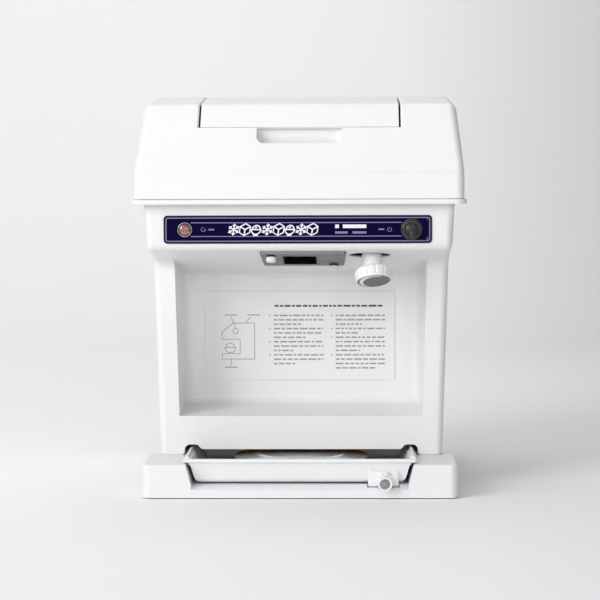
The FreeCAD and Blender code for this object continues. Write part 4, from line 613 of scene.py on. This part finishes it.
def text_column(rng, left, right, steps):
    """A column of steps, each a tick and its rows of bars; the last row of a step stops anywhere."""
    top, pitch = 22.4, 4.86
    strokes = []
    row = 0
    for count in steps:
        z = top - pitch * row
        strokes.append([(left - 4.1, z - 0.7), (left - 4.1, z + 0.7)])
        for line in range(count):
            end = right if line < count - 1 else left + (right - left) * rng.uniform(0.3, 0.9)
            strokes += text_row(rng, left, end, z - pitch * line)
        row += count
    return strokes


def make_sign_print():
    """The plate in the niche: raised border, rows of bars for its steps and a plain line drawing."""
    low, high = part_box("instruction_plate")
    face = Vector(((low.x + high.x) / 2, low.y, (low.z + high.z) / 2))
    half_x, half_z = (high.x - low.x) / 2 / MM, (high.z - low.z) / 2 / MM
    outer = rounded_rectangle(half_x - 0.3, half_z - 0.3, 2.5)
    inner = rounded_rectangle(half_x - 3.4, half_z - 3.4, 1.6)
    border = flat_plate("sign_border", [outer, inner], face, 1.6)
    add_piece("sign_border", border, LOOKS["body_white"], "machine", edge=0.5)
    rng = random.Random(7)
    heading = text_row(rng, -28.0, 91.5, 33.0)
    add_print("sign_heading", heading, 2.1, face, DARK_INK)
    rows = text_column(rng, -29.0, 26.5, (3, 3, 3, 3)) + text_column(rng, 39.5, 94.5, (3, 2, 4, 4))
    add_print("sign_rows", rows, 1.7, face, GREY_INK)
    make_sign_drawing(face)


def make_sign_drawing(face):
    """A plain side outline of a countertop machine over a heaped bowl, with three pointers."""
    back, front, foot, roof = -50.0, -86.0, -26.0, 14.0
    outline = [
        (back, foot), (back, roof), (front + 12, roof), (front, roof - 10), (front, roof - 18),
        (front + 20, roof - 18), (front + 20, foot + 6), (front, foot + 6), (front, foot), (back, foot),
    ]
    add_print("sign_drawing_bold", [outline], 0.62, face, DARK_INK)
    bowl_x, bowl_z, bowl_radius = front + 9, foot + 13, 6.0
    bowl = arc(bowl_x, bowl_z, bowl_radius, 180, 360)
    heap = arc(bowl_x, bowl_z, bowl_radius - 1.2, 0, 180)
    brim = [(bowl_x - bowl_radius, bowl_z), (bowl_x + bowl_radius, bowl_z)]
    knob = arc(front + 15, roof - 9, 3.0, 0, 360)
    pointers = [
        [(back - 10, roof), (back - 4, roof + 7)], [(front + 15, roof - 6), (front + 10, roof + 7)],
        [(front + 10, foot), (front + 10, foot - 7)],
    ]
    add_print("sign_drawing", [bowl, heap, brim, knob] + pointers, 0.5, face, DARK_INK)
    tag_length = 14
    starts = ((back - 8, roof + 9), (front + 3, roof + 9), (front + 3, foot - 9))
    tags = [[(start, z), (start + tag_length, z)] for start, z in starts]
    add_print("sign_tags", tags, 1.1, face, GREY_INK)


# ---------------------------------------------------------------- controls

TOGGLE_LEAN = math.radians(13)


def make_toggle():
    """The toggle's round rubber nut with its stepped mouth, and the ribbed boot over the lever."""
    low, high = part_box("toggle_boot_ring")
    face = Vector(((low.x + high.x) / 2, high.y, (low.z + high.z) / 2))
    nut = [
        (5.4, 0), (11.4, 0), (11.4, 1.7), (11.0, 2.5), (10.3, 2.9), (9.9, 3.0),
        (9.7, 3.6), (9.2, 4.3), (8.5, 4.6), (7.5, 4.6), (7.1, 4.2), (6.9, 3.4),
        (6.6, 3.1), (6.5, 2.4), (6.2, 2.1), (6.1, 1.5), (5.7, 1.2), (5.4, 0.8),
    ]

    def knurl(angle, radius, height):
        """Thirty-six shallow waves round the nut's widest part."""
        return radius * (1 - 0.012 * (0.5 + 0.5 * math.cos(36 * angle))) if radius > 11.2 else radius

    mesh = moved(lathe("toggle_nut", nut, 216, knurl, True), stand(face, (0, -1, 0)))
    add_piece("toggle_nut", mesh, BOOT_GREY, "machine", ("toggle_boot_ring",), 0.15)
    pivot = face + Vector((0, 4.5 * MM, 0))
    boot = [(0, -1.5), (2.8, -1.5), (2.9, 4.6)]
    for step in range(25):
        height = 4.9 + 5.6 * step / 24
        rib = 0.28 * math.cos(2 * math.pi * (height - 4.9) / 1.4)
        boot.append((3.75 - 0.1 * (height - 4.9) - rib, height))
    for step in range(9):
        height = 11.0 + 7.0 * step / 8
        boot.append((3.25 + 0.75 * math.sin(math.pi / 2 * step / 8), height))
    for step in range(1, 10):
        angle = math.pi / 2 * step / 9
        boot.append((4.0 * math.cos(angle) if step < 9 else 0, 18.0 + 4.2 * math.sin(angle)))
    direction = Vector((0, -math.cos(TOGGLE_LEAN), -math.sin(TOGGLE_LEAN)))
    mesh = moved(lathe("toggle_boot", boot, 72), stand(pivot, direction))
    add_piece("toggle_boot", mesh, BOOT_GREY, "toggle", ("toggle_lever",))
    make_toggle_bellows(face, pivot, direction)


def make_toggle_bellows(face, pivot, direction):
    """The boot's ribbed skirt: it grows out of the nut's mouth and closes round the lever."""
    mouth = face + Vector((0, -3.4 * MM, 0))
    neck = pivot + direction * 11.6 * MM
    vertices, faces = [], []
    rows, segments = 30, 72
    for row in range(rows + 1):
        share = row / rows
        axis = (Vector((0, -1, 0)) * (1 - share) + direction * share).normalized()
        middle = mouth.lerp(neck, share ** 0.8)
        rib = 0.32 * math.sin(2 * math.pi * 3.5 * share)
        reach = (6.75 - 3.2 * share ** 0.7 + rib) * MM
        frame_at = stand(middle, axis)
        for step in range(segments):
            angle = 2 * math.pi * step / segments
            vertices.append(frame_at @ Vector((reach * math.cos(angle), reach * math.sin(angle), 0)))
    for row in range(rows):
        for step in range(segments):
            ahead = (step + 1) % segments
            faces.append([row * segments + step, row * segments + ahead,
                          (row + 1) * segments + ahead, (row + 1) * segments + step])
    faces += [list(range(segments)), list(range(rows * segments, (rows + 1) * segments))]
    mesh = bpy.data.meshes.new("toggle_bellows")
    mesh.from_pydata([tuple(vertex) for vertex in vertices], [], faces)
    piece = add_piece("toggle_bellows", tidy_mesh(mesh), BOOT_GREY, None)
    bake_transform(piece)


def make_reset():
    """The reset button's bright bezel and its clear dome."""
    low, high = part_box("reset_ring")
    face = Vector(((low.x + high.x) / 2, high.y, (low.z + high.z) / 2))
    bezel = [(6.8, 0), (7.6, 0), (7.6, 0.9), (7.5, 1.3), (7.2, 1.5), (6.9, 1.4), (6.8, 1.2)]
    mesh = moved(lathe("reset_bezel", bezel, 96, None, True), stand(face, (0, -1, 0)))
    add_piece("reset_bezel", mesh, LOOKS["chrome_ring"], "machine", ("reset_ring",), 0.1)
    low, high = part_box("reset_dome")
    depth = (high.y - low.y) / MM
    radius = 6.5
    dome = [(0, 0.55), (3.6, 0.55), (3.8, 0), (radius, 0)]
    for step in range(13):
        angle = math.pi / 2 * step / 12
        dome.append((radius * math.cos(angle) if step < 12 else 0, 0.6 + (depth - 0.6) * math.sin(angle)))
    seat = Vector(((low.x + high.x) / 2, high.y, (low.z + high.z) / 2))
    mesh = moved(lathe("reset_lens", dome, 72), stand(seat, (0, -1, 0)))
    body = frame["nodes"]["reset_dome"]["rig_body"]
    add_piece("reset_lens", mesh, LOOKS["clear_plastic"], body, ("reset_dome",))


# ---------------------------------------------------------------- adjusting knob and outlet screws

KNOB_JOINT = next(joint for joint in frame["joints"] if joint["child"] == "knob")
KNOB_AXIS = Vector(KNOB_JOINT["axis"]).normalized()
KNOB_LENGTH = 14.0
KNOB_RADIUS = 19.0
KNOB_SHOULDER = 9.5


def knob_groove(angle, radius, height):
    """Thirteen narrow grooves down the grip, fading out towards the face."""
    if radius < KNOB_RADIUS - 1.5 or height < 1.6:
        return radius
    turn = angle * 13 / (2 * math.pi) % 1
    away = abs(turn - 0.5) * 2
    fade = min(1.0, (height - 1.6) / 1.5)
    return radius - 1.0 * fade * max(0.0, away - 0.72) / 0.28


def highlight_crescent_outline():
    """A crescent round the knob's face, standing for a painted highlight: a round outer edge and an inner
    edge that swells away from it.
    """
    radius, width, start, end, steps = 15.2, 4.4, 60, 255, 40
    points = arc(0, 0, radius, start, end, steps)
    for step in range(1, steps):
        reach = radius - width * math.sin(math.pi * step / (steps + 4))
        angle = math.radians(end - (end - start) * step / steps)
        points.append((reach * math.cos(angle), reach * math.sin(angle)))
    return points


def make_knob():
    """The fluted grip, and the grey face with a white crescent of painted highlight."""
    face = Vector(KNOB_JOINT["pos_m"])
    bore = 3.2
    rim = [(1.7, 2.2), (1.5, 0.5), (1.2, 0.1), (0.6, 0), (0.2, 0.5), (0, 1.4), (0, 1.6)]
    grip = [(bore, 2.2)] + [(KNOB_RADIUS - inset, height) for inset, height in rim]
    for step in range(1, 9):
        grip.append((KNOB_RADIUS + 0.7 * step / 8, 1.6 + (KNOB_SHOULDER - 1.6) * step / 8))
    for step in range(1, 9):
        angle = math.pi / 2 * step / 8
        rise = (KNOB_LENGTH - KNOB_SHOULDER) * math.sin(angle)
        grip.append((KNOB_RADIUS - 4.3 + 5.0 * math.cos(angle), KNOB_SHOULDER + rise))
    grip.append((bore, KNOB_LENGTH))
    mesh = moved(lathe("knob_grip", grip, 416, knob_groove, True), stand(face, KNOB_AXIS))
    add_piece("knob_grip", mesh, LOOKS["knob_white"], "knob", ("adjusting_knob",))
    disc_radius = KNOB_RADIUS - 1.8
    disc = [
        (0, 2.1), (disc_radius, 2.1), (disc_radius, 0.9),
        (disc_radius - 0.7, 0.5), (disc_radius - 1.6, 0.62), (0, 0.45),
    ]
    mesh = moved(lathe("knob_disc", disc, 128), stand(face, KNOB_AXIS))
    add_piece("knob_disc", mesh, LOOKS["knob_face_grey"], "knob", ("knob_cap",), 0.15)
    facing_down = stand((0, 0, 0), -KNOB_AXIS)
    centre = face + KNOB_AXIS * 0.5 * MM
    # A white crescent laid on the grey face: a painted highlight where the key light glints on the disc.
    crescent = flat_plate("knob_painted_highlight", [highlight_crescent_outline()], centre, 0.3, facing_down)
    add_piece("knob_painted_highlight", crescent, LOOKS["knob_white"], "knob")


def make_outlet_screws():
    """The outlet's two knurled thumb screws, each with a black ring of painted shade under its head."""
    def knurl(angle, radius, height):
        """Twenty-eight ridges round the side of the head."""
        return radius * (1 + 0.03 * math.cos(28 * angle)) if radius > 4.2 and 1.9 < height < 6.0 else radius

    head = [
        (0, -10.8), (2.0, -10.8), (2.0, 1.2), (4.9, 1.2), (5.15, 1.6), (5.15, 2.0),
        (5.1, 2.6), (4.7, 5.6), (4.5, 6.1), (4.0, 6.4), (1.2, 6.3), (0, 6.0),
    ]
    # A black ring between the plate and each head: painted shade for the shadowed gap there.
    shade_ring = [(2.1, 0.02), (4.7, 0.02), (4.9, 0.3), (4.9, 0.9), (4.7, 1.2), (2.1, 1.2)]
    lean = math.radians(13.5)
    out = Vector((0, -math.sin(lean), -math.cos(lean)))
    seats = []
    for low, high in islands("outlet_screws"):
        middle = (low + high) / 2
        seats.append(middle + out * (11.0 - 6.4) / 2 * MM)
    thumb = lathe("thumb", head, 168, knurl)
    screws = gathered("thumb_screws", [(thumb, stand(seat, out)) for seat in seats])
    white = LOOKS["screw_white"]
    add_piece("thumb_screws", screws, white, "machine", ("outlet_screws",), 0.12)
    ring = lathe("shade_ring", shade_ring, 64, None, True)
    shade_rings = gathered("thumb_shade_rings", [(ring, stand(seat, out)) for seat in seats])
    add_piece("thumb_shade_rings", shade_rings, LOOKS["black_rubber"], "machine")


# ---------------------------------------------------------------- cross-head screws

def cross_head(radius, height, shank_radius, shank_length):
    """A pan-head screw standing on its seat, with a tapered cross recess."""
    side = 0.45
    shank = [(0, -shank_length), (shank_radius, -shank_length), (shank_radius, 0)]
    profile = shank + [(radius, 0), (radius, height * side)]
    for step in range(1, 9):
        angle = math.pi / 2 * step / 8
        rise = height * (side + (1 - side) * math.sin(angle))
        profile.append((radius * math.cos(angle) if step < 8 else 0, rise))
    screw = bpy.data.objects.new("screw", lathe("screw", profile, 48))
    work = bmesh.new()
    for turn in (0, 90):
        bar = bmesh.ops.create_cube(work, size=1)["verts"]
        bmesh.ops.scale(work, vec=(radius * 1.15 * MM, radius * 0.3 * MM, height * 1.3 * MM), verts=bar)
        for vertex in bar:
            if vertex.co.z < 0:
                vertex.co.x *= 0.55
                vertex.co.y *= 0.6
        bmesh.ops.rotate(work, verts=bar, matrix=Matrix.Rotation(math.radians(turn), 3, "Z"))
        bmesh.ops.translate(work, vec=(0, 0, height * 1.05 * MM), verts=bar)
    tool_mesh = bpy.data.meshes.new("cross")
    work.to_mesh(tool_mesh)
    work.free()
    tool = bpy.data.objects.new("cross", tool_mesh)
    for item in (screw, tool):
        bpy.context.scene.collection.objects.link(item)
    recess = screw.modifiers.new("recess", "BOOLEAN")
    recess.operation = "DIFFERENCE"
    recess.solver = "EXACT"
    recess.use_self = True
    recess.object = tool
    bpy.context.view_layer.update()
    mesh = bpy.data.meshes.new_from_object(screw.evaluated_get(bpy.context.evaluated_depsgraph_get()))
    for item in (screw, tool):
        bpy.data.objects.remove(item)
    return tidy_mesh(mesh)


def outward(low, high):
    """Which way a side or rear screw faces: out along X at the sides, and along Y at the back."""
    middle = (low + high) / 2
    return Vector((math.copysign(1, middle.x), 0, 0)) if abs(middle.x) > 0.15 else Vector((0, 1, 0))


CROSS_SCREWS = (
    ("rear_cover_screws", "fastener_steel", 3.6, 2.4, 1.9, 8.0),
    ("head_cover_screws", "screw_white", 5.2, 3.0, 2.1, 12.0),
)


def make_cross_screws():
    """The screws of the rear cover and the head cover, with their crosses."""
    for node, slot, radius, height, shank, length in CROSS_SCREWS:
        head = cross_head(radius, height, shank, length)
        parts = []
        for low, high in islands(node):
            out = Vector((0, 1, 0)) if node == "rear_cover_screws" else outward(low, high)
            middle = (low + high) / 2
            seat = middle + out * (length - height) / 2 * MM
            spin = (0.3, 0, 1) if abs(out.y) > 0.5 else (0, 0.4, 1)
            parts.append((head, stand(seat, out, spin)))
        piece = gathered(node + "_detail", parts)
        add_piece(node + "_detail", piece, LOOKS[slot], "machine", (node,), 0.08)


make_label_print()
make_sign_print()
make_toggle()
make_reset()
make_knob()
make_outlet_screws()
make_cross_screws()


# ---------------------------------------------------------------- studio and camera

def add_camera():
    """The camera stands in front, a little right of the middle and level with the head cover."""
    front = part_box("base")[0].y
    data = bpy.data.cameras.new("camera")
    data.lens = 125.7
    data.sensor_width = 36.0
    data.clip_end = 50.0
    camera = bpy.data.objects.new("camera", data)
    bpy.context.scene.collection.objects.link(camera)
    camera.location = (0.0511, front - 2.166, 0.3512)
    aim = Matrix.Rotation(math.radians(1.325), 4, "Z") @ Matrix.Rotation(math.radians(90 - 3.775), 4, "X")
    roll = Matrix.Rotation(math.radians(-0.203), 4, "Z")
    camera.rotation_euler = (aim @ roll).to_euler()
    bpy.context.scene.camera = camera


def add_area(name, place, target, size, power):
    """A soft rectangular light aimed at a point."""
    data = bpy.data.lights.new(name, "AREA")
    data.shape = "RECTANGLE"
    data.size, data.size_y = size
    data.energy = power
    lamp = bpy.data.objects.new(name, data)
    bpy.context.scene.collection.objects.link(lamp)
    lamp.location = place
    lamp.rotation_euler = (Vector(target) - Vector(place)).to_track_quat("-Z", "Y").to_euler()


def add_stage():
    """A pale seamless floor that curves up into a backdrop, with painted shade darkening it towards the
    right.
    """
    profile = [(-6.0, 0.0), (1.6, 0.0)]
    radius = 1.2
    for step in range(1, 17):
        angle = math.pi / 2 * step / 16
        profile.append((1.6 + radius * math.sin(angle), radius * (1 - math.cos(angle))))
    profile.append((1.6 + radius, 6.0))
    half = 6.0
    vertices = [(x, y, z) for y, z in profile for x in (-half, half)]
    faces = [(2 * i, 2 * i + 1, 2 * i + 3, 2 * i + 2) for i in range(len(profile) - 1)]
    mesh = bpy.data.meshes.new("studio_floor")
    mesh.from_pydata(vertices, [], faces)
    mesh.shade_smooth()
    floor = bpy.data.objects.new("studio_floor", mesh)
    bpy.context.scene.collection.objects.link(floor)
    material, shader = new_material("studio_paper", (0.9, 0.9, 0.9), 0.9, specular=0.1)
    tree = material.node_tree
    coords = tree.nodes.new("ShaderNodeTexCoord")
    split = tree.nodes.new("ShaderNodeSeparateXYZ")
    tree.links.new(coords.outputs["Object"], split.inputs["Vector"])
    # Painted shade: the paper darkens towards the right, away from the key light.
    painted_shade_across = remap(tree, split.outputs["X"], -0.6, 0.8, 0, 1)
    stops = [(0.0, (0.91, 0.91, 0.91)), (0.55, (0.9, 0.9, 0.9)), (1.0, (0.7, 0.7, 0.7))]
    tree.links.new(colour_ramp(tree, painted_shade_across, stops), shader.inputs["Base Color"])
    floor.data.materials.append(material)


def add_light():
    """A large key from the left, softer lights round it, one for the backdrop, and faint cool air."""
    add_area("key", (-2.6, -2.4, 1.7), (0, 0, 0.2), (2.2, 2.2), 92.0)
    add_area("front", (0.2, -3.6, 1.1), (0, 0, 0.22), (2.6, 1.8), 38.0)
    add_area("top", (-0.2, 0.0, 2.8), (0, 0.1, 0), (3.0, 3.0), 40.0)
    add_area("backdrop", (-0.5, 1.2, 2.0), (-0.3, 2.6, 0.2), (2.4, 0.8), 11.0)
    add_area("fill", (2.6, -2.2, 1.2), (0, 0, 0.2), (1.8, 1.8), 9.0)
    world = bpy.data.worlds.new("studio_air")
    world.use_nodes = True
    world.node_tree.nodes["Background"].inputs["Color"].default_value = (0.93, 0.95, 1.0, 1)
    world.node_tree.nodes["Background"].inputs["Strength"].default_value = 0.04
    bpy.context.scene.world = world
    bpy.context.scene.view_settings.view_transform = "Standard"


add_camera()
add_stage()
add_light()
